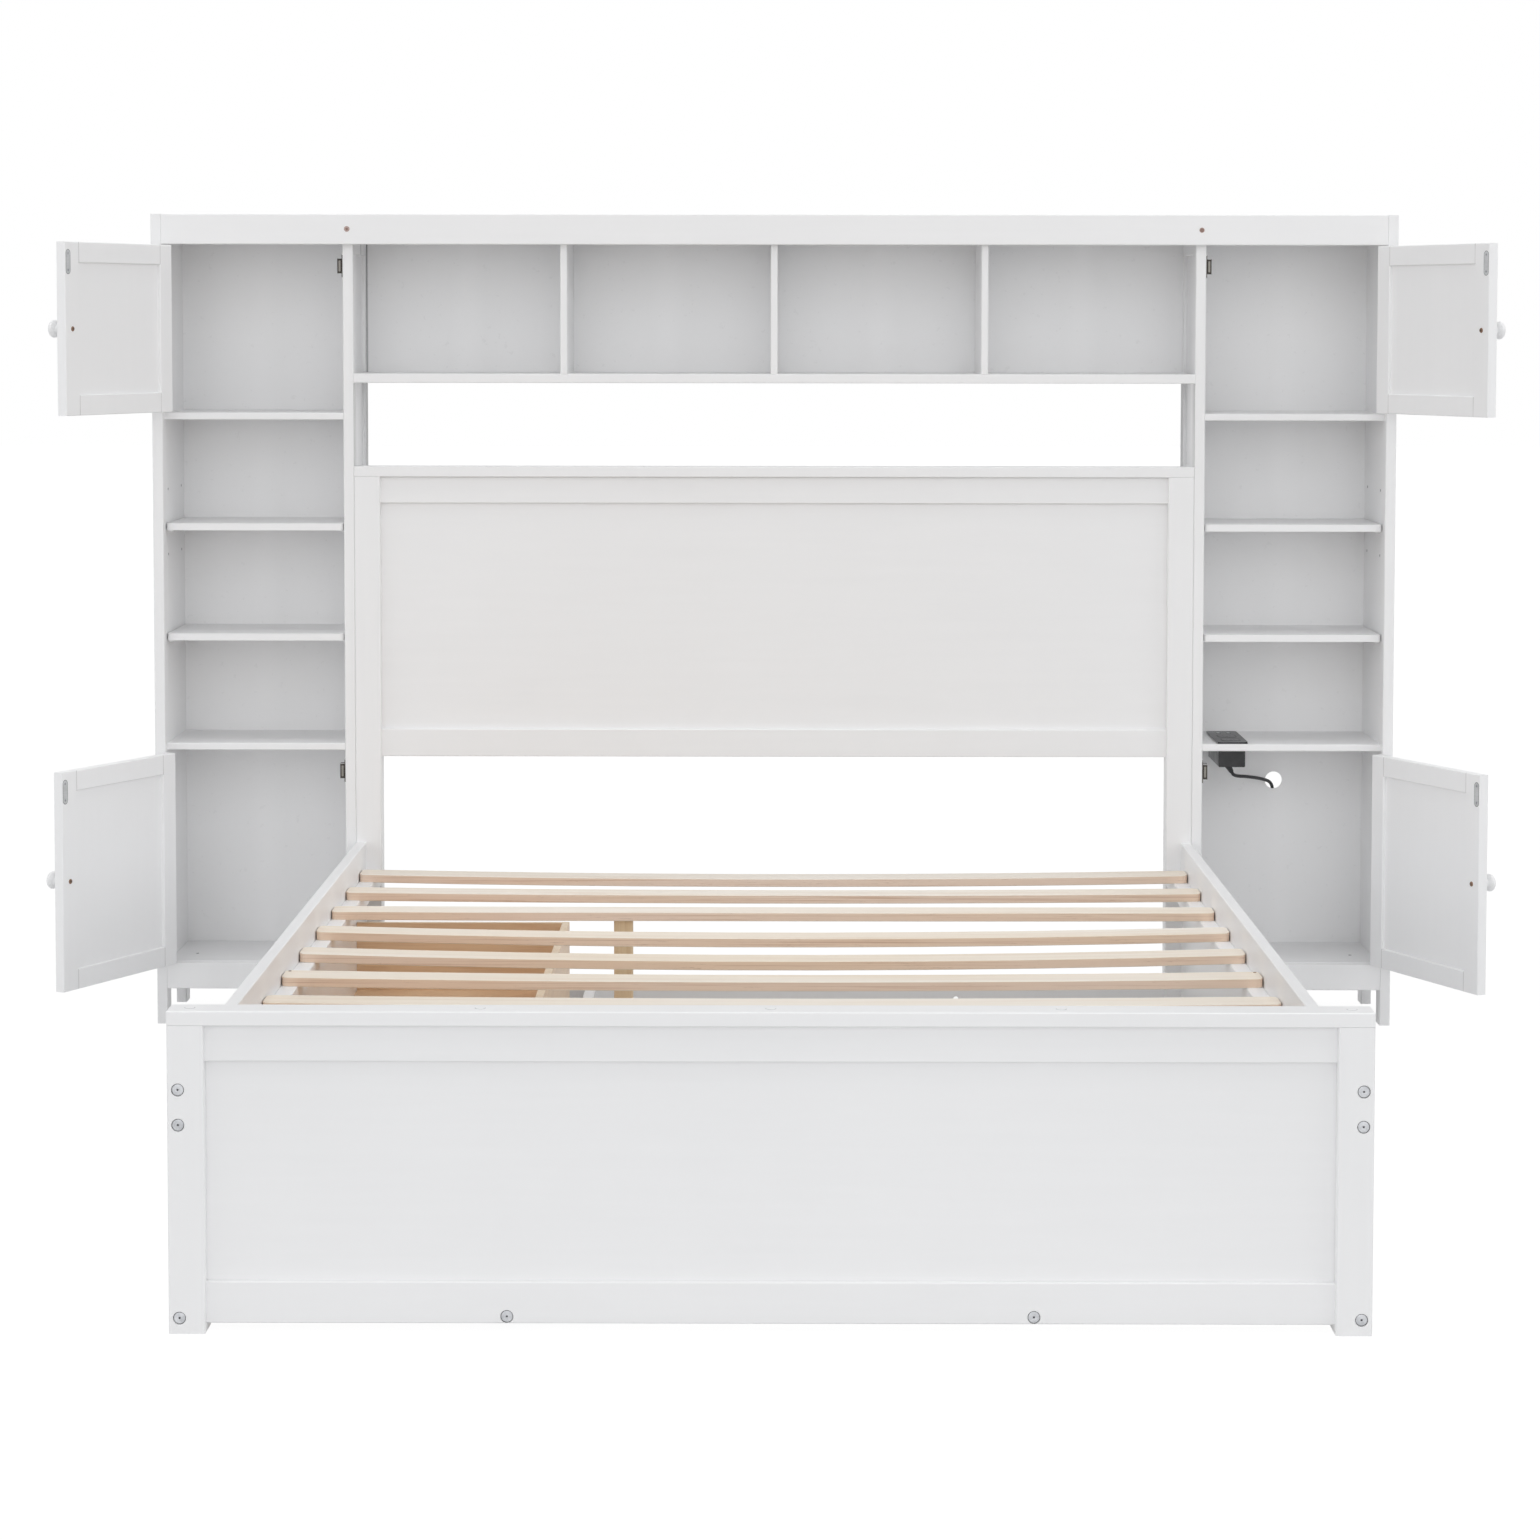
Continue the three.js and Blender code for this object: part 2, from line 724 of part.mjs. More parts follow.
function fixedHinge(side, centre) {
  const axis = [side * hingeAxisX, hingeAxisY, 0];
  const half = hingeLength / 2;
  const middle = (middleKnuckleShare * hingeLength) / 2;
  const leafX = [towerInnerX - hingeLeafThickness, towerInnerX + glueLap];
  const knuckle = (start, end) => [
    rod(axis, "z", start, end, knuckleRadius, 12),
    sideBoard(side, [leafX[0], hingeAxisY, start], [towerInnerX, towerFrontY + glueLap, end], "z", 0),
  ];
  return join(
    rod(axis, "z", centre - half + glueLap, centre + half - glueLap, hingePinRadius, 8),
    ...knuckle(centre - half, centre - middle),
    ...knuckle(centre + middle, centre + half),
    sideBoard(
      side,
      [leafX[0], towerFrontY, centre - half],
      [leafX[1], towerFrontY + hingeLeafWidth, centre + half],
      "z",
      0,
    ),
  );
}

function movingHinge(side, centre, doorEdgeX) {
  const axis = [side * hingeAxisX, hingeAxisY, 0];
  const half = hingeLength / 2;
  const middle = (middleKnuckleShare * hingeLength) / 2 - knuckleGap;
  const start = centre - middle;
  const end = centre + middle;
  const leafX = [doorEdgeX - glueLap, doorEdgeX + hingeLeafThickness];
  const barrel = join(
    rod(axis, "z", start, end, knuckleRadius, 12),
    sideBoard(side, [doorEdgeX, hingeAxisY, start], [leafX[1], towerFrontY + glueLap, end], "z", 0),
    sideBoard(
      side,
      [leafX[0], towerFrontY, centre - half],
      [leafX[1], towerFrontY + hingeLeafWidth, centre + half],
      "z",
      0,
    ),
  );
  return cut(barrel, rod(axis, "z", start - overrun, end + overrun, hingePinRadius + knuckleGap, 8));
}

// Magnetic catch on the inside of the inner side, level with the strike of its door
function magneticCatch(side, centre) {
  const start = headFrontY + catchSetback;
  const face = innerBoardX;
  return join(
    sideBoard(
      side,
      [face - glueLap, start, centre - catchPlateHeight / 2],
      [face + catchPlateThickness, start + catchDepth, centre + catchPlateHeight / 2],
      "z",
      0,
    ),
    sideBoard(
      side,
      [face + glueLap, start, centre - catchHeight / 2],
      [face + catchReach, start + catchDepth, centre + catchHeight / 2],
      "z",
      0,
    ),
  );
}

// Turn of each door at rest, as they stand open in the photograph
const openDegrees = {
  upper_left: upperLeftOpenDegrees,
  lower_left: lowerLeftOpenDegrees,
  upper_right: upperRightOpenDegrees,
  lower_right: lowerRightOpenDegrees,
};

function makeDoor(word, side, level) {
  const [low, high] = doorSpan(level);
  const edgeX = towerInnerX - hingeGap;
  const freeX = innerBoardX - doorOverlap;
  const name = `door_${level}_${word}`;
  const openLow = low + doorRailWidth;
  const openHigh = high - doorRailWidth;
  const openEdgeX = edgeX - hingeStileWidth;
  const openFreeX = freeX + freeStileWidth;
  const outline = rectangle(new THREE.Shape(), ...sideSpan(side, freeX, edgeX), low, high);
  outline.holes.push(rectangle(new THREE.Path(), ...sideSpan(side, openFreeX, openEdgeX), openLow, openHigh));
  const frame = new THREE.ExtrudeGeometry(outline, {
    depth: frontLayer - touchGap - 2 * edgeEase,
    bevelEnabled: true,
    bevelThickness: edgeEase,
    bevelSize: edgeEase,
    bevelOffset: -edgeEase,
    bevelSegments: 1,
  });
  frame.rotateX(Math.PI / 2);
  frame.translate(0, towerFrontY + frontLayer - touchGap - edgeEase, 0);
  const panelMiddle = towerFrontY + frontLayer / 2;
  const panel = sideBoard(
    side,
    [openFreeX - doorTongue, panelMiddle - doorPanelThickness / 2, openLow - doorTongue],
    [openEdgeX + doorTongue, panelMiddle + doorPanelThickness / 2, openHigh + doorTongue],
    "x",
    0,
  );
  const hinges = hingeCentres(level).map((centre) => movingHinge(side, centre, edgeX));
  const leaf = join(frame, panel, ...hinges);
  const knobX = side * (freeX + knobEdgeDistance);
  const grip = knob().rotateZ(Math.PI).translate(knobX, towerFrontY - touchGap, (low + high) / 2);
  const axis = [side * hingeAxisX, hingeAxisY];
  const turned = new THREE.Group();
  turned.position.set(axis[0], axis[1], 0);
  turned.rotation.z = side * THREE.MathUtils.degToRad(openDegrees[`${level}_${word}`]);
  bed.add(turned);
  addPiece(name, leaf.translate(-axis[0], -axis[1], 0), whiteLacquer, turned);
  addPiece(`${name}_knob`, grip.translate(-axis[0], -axis[1], 0), whiteLacquer, turned);
}

// Shelf between the tower sides; a loose one has end gaps and rounded front corners
function fixedShelf(side, top) {
  return sideBoard(
    side,
    [innerBoardX, headFrontY, top - shelfThickness],
    [towerInnerX, panelFrontY, top],
    "x",
  );
}

function looseShelf(side, top) {
  const nearX = innerBoardX + looseShelfGap;
  const farX = towerInnerX - looseShelfGap;
  const [low, high] = sideSpan(side, nearX, farX);
  const r = looseShelfCorner;
  const outline = new THREE.Shape();
  outline.moveTo(low, panelFrontY);
  outline.lineTo(low, headFrontY + r);
  outline.absarc(low + r, headFrontY + r, r, Math.PI, Math.PI * 1.5, false);
  outline.lineTo(high - r, headFrontY);
  outline.absarc(high - r, headFrontY + r, r, -Math.PI / 2, 0, false);
  outline.lineTo(high, panelFrontY);
  outline.closePath();
  const geometry = new THREE.ExtrudeGeometry(outline, { depth: 1, bevelEnabled: false, curveSegments: 4 });
  const position = geometry.getAttribute("position");
  for (let i = 0; i < position.count; i += 1) {
    position.setZ(i, position.getZ(i) > 0 ? top : top - shelfThickness);
  }
  return geometry;
}

// Floor board of a tower with the apron across its front
function towerBase(side) {
  return join(
    sideBoard(
      side,
      [innerBoardX, headFrontY - glueLap, towerFloorBottom],
      [towerInnerX, panelFrontY, towerFloorTop],
      "x",
    ),
    sideBoard(
      side,
      [innerSideX, towerFrontY, footClearance],
      [towerInnerX, headFrontY, towerFloorTop - doorReveal / 2],
      "x",
    ),
  );
}

const socketX = innerBoardX + socketInset;
const socketFrontY = headFrontY + socketSetback;
const socketBackY = panelFrontY - socketRearGap;
const socketBodyX = socketX + (socketWidth - socketBodyWidth) / 2;
const socketBodyY = [socketFrontY + socketRim, socketBackY - socketRim];

function makeTower(word, side) {
  const name = (part) => `tower_${word}_${part}`;
  const catchHeights = ["upper", "lower"].map((level) => doorSpan(level)[1] - catchDrop);
  makeTowerSide(
    name("outer_side"),
    side,
    [towerInnerX, towerOuterX],
    [towerInnerX, towerInnerX + sideFieldThickness],
    towerFrontY,
    towerHeight,
    [
      ...shelfPins(side, towerInnerX, -1, headFrontY),
      ...["upper", "lower"].flatMap(hingeCentres).map((centre) => fixedHinge(side, centre)),
    ],
  );
  makeTowerSide(
    name("inner_side"),
    side,
    [innerSideX, innerBoardX],
    [innerBoardX - sideFieldThickness, innerBoardX],
    headFrontY,
    topBoardBottom,
    [
      ...shelfPins(side, innerBoardX, 1, headFrontY),
      ...catchHeights.map((centre) => magneticCatch(side, centre)),
    ],
  );
  addPiece(name("upper_shelf"), fixedShelf(side, upperShelfTop), whiteLacquer);
  addPiece(name("high_loose_shelf"), looseShelf(side, highShelfTop), whiteLacquer);
  addPiece(name("low_loose_shelf"), looseShelf(side, lowShelfTop), whiteLacquer);
  const lowerShelf = fixedShelf(side, lowerShelfTop);
  const socketSlot = block(
    [socketBodyX - socketFitGap, socketBodyY[0] - socketFitGap, lowerShelfTop - shelfThickness - overrun],
    [
      socketBodyX + socketBodyWidth + socketFitGap,
      socketBodyY[1] + socketFitGap,
      lowerShelfTop + overrun,
    ],
  );
  addPiece(name("lower_shelf"), side > 0 ? cut(lowerShelf, socketSlot) : lowerShelf, whiteLacquer);
  addPiece(name("base"), towerBase(side), whiteLacquer);
  const back = sideBoard(
    side,
    [innerBoardX, panelFrontY, towerFloorBottom],
    [towerInnerX, panelBackY, topBoardBottom],
    "z",
    0,
  );
  const cableHole = rod(
    [innerBoardX + cableHoleInset, 0, lowerShelfTop - cableHoleDrop],
    "y",
    panelFrontY - overrun,
    panelBackY + overrun,
    cableHoleRadius,
    20,
  );
  addPiece(name("back_panel"), side > 0 ? cut(back, cableHole) : back, backLacquer);
  for (const level of ["upper", "lower"]) makeDoor(word, side, level);
}

// Power socket let into the lower shelf of the right tower, with its leaning strain relief
function reliefDirection() {
  const lean = THREE.MathUtils.degToRad(reliefLeanDegrees);
  const bearing = THREE.MathUtils.degToRad(reliefBearingDegrees);
  return new THREE.Vector3(
    Math.sin(lean) * Math.cos(bearing),
    Math.sin(lean) * Math.sin(bearing),
    -Math.cos(lean),
  );
}

function strainRelief(base) {
  const profile = [
    new THREE.Vector2(0, -reliefRadius),
    new THREE.Vector2(reliefRadius, -reliefRadius),
    new THREE.Vector2(reliefTipRadius, reliefLength),
    new THREE.Vector2(0, reliefLength),
  ];
  const turn = new THREE.Quaternion().setFromUnitVectors(unitY, reliefDirection());
  return new THREE.LatheGeometry(profile, 12).applyQuaternion(turn).translate(base.x, base.y, base.z);
}

function makeSocket() {
  const bodyBottom = lowerShelfTop - shelfThickness - socketBodyDepth;
  const base = new THREE.Vector3(socketBodyX + reliefInsetX, socketBodyY[0] + reliefInsetY, bodyBottom);
  addPiece(
    "power_socket",
    join(
      board(
        [socketX, socketFrontY, lowerShelfTop],
        [socketX + socketWidth, socketBackY, lowerShelfTop + socketPlate],
        "y",
      ),
      board(
        [socketBodyX, socketBodyY[0], bodyBottom],
        [socketBodyX + socketBodyWidth, socketBodyY[1], lowerShelfTop + glueLap],
        "y",
      ),
      strainRelief(base),
    ),
    blackPlastic,
  );
}

function cordSection(sides) {
  const outline = new THREE.Shape();
  for (let i = 0; i < sides; i += 1) {
    const angle = (i * 2 * Math.PI) / sides;
    const place = [cordRadius * Math.cos(angle), cordRadius * Math.sin(angle)];
    if (i === 0) outline.moveTo(...place);
    else outline.lineTo(...place);
  }
  outline.closePath();
  return outline;
}

// Coil of two layers: it winds in, climbs over half a turn and winds out again
const coilOuterRadius = coilMeanRadius + (coilLayerTurns * coilPitch) / 2;
const coilTurns = 2 * coilLayerTurns + coilClimbTurns;
const coilEntry = new THREE.Vector3(...cordRoute[cordRoute.length - 1]);
const coilLeadIn = 2 * cordRadius;
const coilLeadOut = plugWidth + 2 * cordRadius;
const coilCurveLength = coilTurns * 2 * Math.PI * coilMeanRadius + coilLeadIn + coilLeadOut;
const leadInShare = coilLeadIn / coilCurveLength;
const leadOutShare = coilLeadOut / coilCurveLength;

class CoilCurve extends THREE.Curve {
  getPoint(share, target = new THREE.Vector3()) {
    const wound = (share - leadInShare) / (1 - leadInShare - leadOutShare);
    const turn = coilTurns * Math.min(Math.max(wound, 0), 1);
    const inward = coilTurns / 2 - Math.abs(turn - coilTurns / 2);
    const climb = Math.min(Math.max((turn - coilLayerTurns) / coilClimbTurns, 0), 1);
    const radius = coilOuterRadius - coilPitch * inward;
    const angle = -2 * Math.PI * turn;
    const centreX = coilEntry.x - coilOuterRadius;
    const centreY = coilEntry.y - touchGap - coilLeadIn;
    const lead = Math.max(leadInShare - share, 0) + Math.max(share - 1 + leadOutShare, 0);
    return target.set(
      centreX + radius * Math.cos(angle),
      centreY + radius * Math.sin(angle) + lead * coilCurveLength,
      coilEntry.z + coilPitch * climb * climb * (3 - 2 * climb),
    );
  }
}

// Least gap between two stretches of the coil that lie a few diameters of cord apart
function coilSelfGap(curve, steps) {
  const points = curve.getSpacedPoints(steps);
  const skip = Math.ceil((coilCheckReach * steps) / curve.getLength());
  let least = Infinity;
  for (let i = 0; i < points.length; i += 1) {
    for (let j = i + skip; j < points.length; j += 1) {
      least = Math.min(least, points[i].distanceTo(points[j]));
    }
  }
  return least - 2 * cordRadius;
}

function makePlug(nose) {
  const middle = nose.z;
  const low = [nose.x - plugWidth / 2, nose.y + touchGap, middle - plugThickness / 2];
  const high = [nose.x + plugWidth / 2, nose.y + touchGap + plugLength, middle + plugThickness / 2];
  const prong = (offset) =>
    block(
      [
        nose.x + offset - prongThickness / 2,
        high[1] - glueLap,
        middle + groundPinDrop / 2 - prongWidth / 2,
      ],
      [
        nose.x + offset + prongThickness / 2,
        high[1] + prongLength,
        middle + groundPinDrop / 2 + prongWidth / 2,
      ],
    );
  const pin = [nose.x, 0, middle - groundPinDrop];
  addPiece(
    "power_plug",
    join(
      board(low, high, "y", cordRadius),
      prong(-prongSpacing / 2),
      prong(prongSpacing / 2),
      rod(pin, "y", high[1] - glueLap, high[1] + prongLength, groundPinRadius, 10),
    ),
    blackPlastic,
  );
}

function makeCord() {
  const run = new THREE.CatmullRomCurve3(cordRoute.map((place) => new THREE.Vector3(...place)));
  const runSteps = Math.round(run.getLength() / cordStep);
  addPiece(
    "power_cord_run",
    new THREE.ExtrudeGeometry(cordSection(8), { steps: runSteps, extrudePath: run }),
    blackPlastic,
  );
  const coil = new CoilCurve();
  const coilSteps = Math.round(coilStepsPerTurn * coilTurns) + coilLeadSteps;
  addPiece(
    "power_cord_coil",
    new THREE.ExtrudeGeometry(cordSection(6), { steps: coilSteps, extrudePath: coil }),
    blackPlastic,
  );
  makePlug(coil.getPoint(1));
  const metres = (run.getLength() + coil.getLength()) / 1000;
  console.log(`cord ${metres.toFixed(3)} m, coil self gap ${coilSelfGap(coil, coilSteps).toFixed(2)} mm`);
}

// Fascia, top board and the bridge with its cubbies
function makeBridge() {
  addPiece(
    "top_fascia",
    board([-towerInnerX, towerFrontY, fasciaBottom], [towerInnerX, headFrontY, towerHeight]),
    whiteLacquer,
  );
  addPiece(
    "top_board",
    board([-towerInnerX, headFrontY, topBoardBottom], [towerInnerX, backY, towerHeight]),
    whiteLacquer,
  );
  const shelfBottom = bridgeShelfTop - bridgeShelfThickness;
  addPiece(
    "bridge_shelf",
    board([-innerSideX, headFrontY, shelfBottom], [innerSideX, panelFrontY, bridgeShelfTop]),
    whiteLacquer,
  );
  const cubbyPitch = (2 * innerSideX) / cubbyCount;
  for (let i = 1; i < cubbyCount; i += 1) {
    const x = -innerSideX + i * cubbyPitch;
    addPiece(
      `bridge_divider_${i}`,
      board(
        [x - dividerThickness / 2, headFrontY, bridgeShelfTop],
        [x + dividerThickness / 2, panelFrontY, topBoardBottom],
        "z",
      ),
      whiteLacquer,
    );
  }
  addPiece(
    "bridge_back_panel",
    board([-innerSideX, panelFrontY, shelfBottom], [innerSideX, panelBackY, topBoardBottom], "z", 0),
    backLacquer,
  );
}

makeHeadboard();
makeFootboard();
makeSlatDeck();
makeBedBase();
makeDrawerFrame();
makeRunnerFrame();
makeDrawer("head", openingStarts[0]);
makeDrawer("foot", openingStarts[1]);
makeTower("left", -1);
makeTower("right", 1);
makeBridge();
makeSocket();
makeCord();

export default bed;
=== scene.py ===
import json
import math

import bmesh
import bpy
from mathutils import Matrix, Vector


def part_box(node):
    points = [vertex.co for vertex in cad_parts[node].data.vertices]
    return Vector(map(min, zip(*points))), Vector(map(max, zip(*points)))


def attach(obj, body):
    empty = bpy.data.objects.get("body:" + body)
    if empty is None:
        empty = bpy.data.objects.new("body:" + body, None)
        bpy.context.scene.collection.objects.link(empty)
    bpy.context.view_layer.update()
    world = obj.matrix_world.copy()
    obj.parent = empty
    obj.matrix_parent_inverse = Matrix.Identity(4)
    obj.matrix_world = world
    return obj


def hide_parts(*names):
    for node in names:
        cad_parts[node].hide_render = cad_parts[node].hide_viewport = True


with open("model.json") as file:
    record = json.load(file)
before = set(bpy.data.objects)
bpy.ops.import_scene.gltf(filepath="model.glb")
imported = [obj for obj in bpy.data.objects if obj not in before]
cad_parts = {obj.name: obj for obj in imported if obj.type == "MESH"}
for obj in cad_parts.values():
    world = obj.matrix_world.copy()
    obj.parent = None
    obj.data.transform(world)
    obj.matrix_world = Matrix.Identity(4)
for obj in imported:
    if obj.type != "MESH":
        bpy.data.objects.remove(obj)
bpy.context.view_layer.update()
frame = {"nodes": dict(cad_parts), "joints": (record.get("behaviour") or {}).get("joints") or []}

NODES = frame["nodes"]

# CAD places, in metres, from the solids' own boxes
TOWER_FRONT_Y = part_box("top_fascia")[0].y
HEAD_FRONT_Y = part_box("headboard_cap")[0].y
HEAD_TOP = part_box("headboard_cap")[1].z
BRIDGE_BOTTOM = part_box("bridge_shelf")[0].z
BRIDGE_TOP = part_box("bridge_shelf")[1].z
FOOT_FRONT_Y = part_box("footboard_cap")[0].y
FOOT_RAIL_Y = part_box("footboard_lower_rail")[0].y
INNER_SIDE_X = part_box("bridge_shelf")[1].x
INNER_BOARD_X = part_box("tower_right_lower_shelf")[0].x
TOWER_INNER_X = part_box("tower_right_lower_shelf")[1].x
TOWER_FLOOR_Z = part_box("tower_right_base")[1].z

# The shut doors: edges and frame widths
DOOR_FREE_X = 0.7423
DOOR_HINGE_X = 1.0554
DOOR_BACK_Y = 0.8692
FREE_STILE = 0.039
HINGE_STILE = 0.035
DOOR_RAIL = 0.034
DOOR_SPANS = {"upper": (1.069, 1.356), "lower": (0.109, 0.477)}
SIDES = {"left": -1, "right": 1}

# Hinge axis, and the angle that each door stands open by at rest: the larger of its joint's two limits
JOINTS = {joint["name"]: joint for joint in frame["joints"]}
HINGE_AXIS = JOINTS["upper_right_hinge"]["pos_m"][:2]
DOOR_OPEN = {}
for word in SIDES:
    for level in DOOR_SPANS:
        limits = JOINTS[f"{level}_{word}_hinge"]["range_deg"]
        DOOR_OPEN[level, word] = math.radians(max(abs(limit) for limit in limits))

# Camera, from the photograph's edges: metres, millimetres of lens, degrees, and share of the frame
CAMERA_PLACE = (0.0106, -5.4174, 1.2261)
CAMERA_LENS = 84.734
CAMERA_PITCH = 3.436
CAMERA_YAW = 0.159
CAMERA_ROLL = 0.064
CAMERA_SHIFT = -0.15
CAMERA_SENSOR = 36
CAMERA_REACH = 100

camera_data = bpy.data.cameras.new("camera")
camera = bpy.data.objects.new("camera", camera_data)
bpy.context.scene.collection.objects.link(camera)
camera.location = CAMERA_PLACE
camera.rotation_euler = (
    Matrix.Rotation(math.radians(CAMERA_YAW), 3, "Z")
    @ Matrix.Rotation(math.radians(90 - CAMERA_PITCH), 3, "X")
    @ Matrix.Rotation(math.radians(CAMERA_ROLL), 3, "Z")
).to_euler()
camera_data.sensor_width = CAMERA_SENSOR
camera_data.lens = CAMERA_LENS
camera_data.shift_y = CAMERA_SHIFT
camera_data.clip_end = CAMERA_REACH
camera_data.dof.use_dof = False
bpy.context.scene.camera = camera


# Materials
NOISE_MIDDLE = (0.35, 0.65)
NOISE_SPREAD = (0.3, 0.7)
LIMIT_SOFTNESS = 0.0004


class Look:
    """A material built from nodes round one Principled shader"""

    def __init__(self, name, color, roughness, **sockets):
        self.material = bpy.data.materials.new(name)
        self.material.use_nodes = True
        self.material.diffuse_color = (*color, 1)
        self.tree = self.material.node_tree
        self.shader = self.tree.nodes["Principled BSDF"]
        self.put(self.shader, "Base Color", color)
        self.put(self.shader, "Roughness", roughness)
        for key, value in sockets.items():
            self.put(self.shader, key.replace("_", " "), value)
        self.place = self.add("ShaderNodeTexCoord").outputs["Object"]
        self.normal = None

    def put(self, node, key, value):
        socket = node.inputs[key]
        if isinstance(value, bpy.types.NodeSocket):
            self.tree.links.new(value, socket)
        elif socket.type == "RGBA" and len(value) == 3:
            socket.default_value = (*value, 1)
        else:
            socket.default_value = value

    def add(self, kind, settings=None, inputs=None):
        node = self.tree.nodes.new(kind)
        for key, value in (settings or {}).items():
            setattr(node, key, value)
        for key, value in (inputs or {}).items():
            self.put(node, key, value)
        return node

    def stretch(self, scale, place=None):
        """Coordinates in metres times a scale on each axis"""
        node = self.add("ShaderNodeMapping", None, {"Vector": place or self.place, "Scale": scale})
        return node.outputs["Vector"]

    def noise(self, scale, detail=3.0, roughness=0.5, place=None, distortion=0.0):
        inputs = {
            "Vector": place or self.place,
            "Scale": scale,
            "Detail": detail,
            "Roughness": roughness,
            "Distortion": distortion,
        }
        return self.add("ShaderNodeTexNoise", None, inputs).outputs["Fac"]

    def math(self, operation, *values):
        node = self.add("ShaderNodeMath", {"operation": operation}, dict(enumerate(values)))
        return node.outputs[0]

    def remap(self, value, low, high, out_low=0.0, out_high=1.0, kind="LINEAR"):
        inputs = {"Value": value, "From Min": low, "From Max": high, "To Min": out_low, "To Max": out_high}
        node = self.add("ShaderNodeMapRange", {"interpolation_type": kind}, inputs)
        return node.outputs["Result"]

    def mix(self, factor, first, second):
        node = self.add("ShaderNodeMix", {"data_type": "RGBA"})
        self.put(node, 0, factor)
        self.put(node, 6, first)
        self.put(node, 7, second)
        return node.outputs[2]

    def split(self, vector=None):
        node = self.add("ShaderNodeSeparateXYZ", None, {0: vector or self.place})
        return node.outputs

    def normal_parts(self):
        return self.split(self.add("ShaderNodeNewGeometry").outputs["True Normal"])

    def between(self, value, low, high, soft=LIMIT_SOFTNESS):
        """1 between two limits, 0 outside"""
        rise = self.remap(value, low - soft, low + soft)
        fall = self.remap(value, high - soft, high + soft, 1.0, 0.0)
        return self.math("MULTIPLY", rise, fall)

    def line(self, value, at, half_width):
        """1 on a line, falling to 0 at its sides"""
        away = self.math("ABSOLUTE", self.math("SUBTRACT", value, at))
        return self.remap(away, 0.0, half_width, 1.0, 0.0)

    def bump(self, height, strength, distance):
        inputs = {"Height": height, "Strength": strength, "Distance": distance}
        if self.normal is not None:
            inputs["Normal"] = self.normal
        self.normal = self.add("ShaderNodeBump", None, inputs).outputs["Normal"]
        self.put(self.shader, "Normal", self.normal)

    def color(self, value):
        self.put(self.shader, "Base Color", value)

    def roughness(self, value):
        self.put(self.shader, "Roughness", value)


WHITE_LOW = (0.898, 0.898, 0.904)
WHITE_HIGH = (0.918, 0.918, 0.924)
WHITE_DOOR = (0.932, 0.932, 0.938)
BACK_LOW = (0.925, 0.925, 0.930)
BACK_HIGH = (0.938, 0.938, 0.943)
# Colour of the painted highlight band down each bay of the back panels
BACK_PAINTED_HIGHLIGHT = (0.96, 0.96, 0.965)
# Dark colour of the painted shades and of the dark joint lines
PAINTED_SHADE_AND_JOINT_DARK = (0.16, 0.16, 0.165)
HAIR_DARK = (0.45, 0.44, 0.43)
PAINT_GLOSS = 0.42
TOP_GLOSS = 0.1

# Painted shades, dark joints and painted highlight bands that the photograph shows on the boards: strengths,
# and places in metres
FACE_SLACK = 0.0003
SEAM_SHADE = 0.8
POST_SHADE = 0.55
POST_SHADE_Y = (0.868, 0.925)
REAR_SHADE = 0.6
REAR_SHADE_Y = (1.046, 1.060)
REAR_SHADE_Z = (0.80, 0.97)
SIDE_JOINT_SHADE = 0.65
SIDE_JOINT_Y = 0.991
SIDE_JOINT_REACH = 0.009
CORNER_SHADE = 0.8
CORNER_Y = 1.081
CORNER_REACH = 0.012
PANEL_GAP_SHADE = 0.85
PANEL_GAP_X = 0.0006 - INNER_SIDE_X
PANEL_GAP_REACH = 0.0030
BAY_HIGHLIGHT_CENTRES = (0.190, 0.548, 0.912)
HIGHLIGHT_REACH = (0.004, 0.034)
HAIR_REACH = 0.0010
HAIR_END = 0.0002

# Where one solid changes its material: cleats under the slats, top edges of the drawers, prongs of the plug
CLEAT_INNER_X = 0.6857
CLEAT_TOP = 0.2657
DRAWER_RIM_Z = 0.19
PRONG_Y = 1.0684


def paint_surface(look, grain):
    """Sprayed lacquer: a fine orange peel over a faint ghost of the wood's grain"""
    blotch = look.noise(2.6, 3.0, 0.55)
    streak = look.noise(1.0, 4.0, 0.6, look.stretch(grain))
    tone = look.math("ADD", look.math("MULTIPLY", blotch, 0.6), look.math("MULTIPLY", streak, 0.4))
    look.roughness(look.remap(look.noise(9.0, 4.0, 0.6), *NOISE_SPREAD, 0.34, 0.47))
    look.bump(streak, 0.10, 0.0006)
    look.bump(look.noise(420.0, 2.0, 0.5), 0.05, 0.0004)
    return look.remap(tone, *NOISE_MIDDLE)


def white_lacquer(name, grain, gloss=PAINT_GLOSS):
    look = Look(name, WHITE_HIGH, 0.4, Specular_IOR_Level=gloss)
    tone = paint_surface(look, grain)
    look.color(look.mix(tone, WHITE_LOW, WHITE_HIGH))
    return look.material


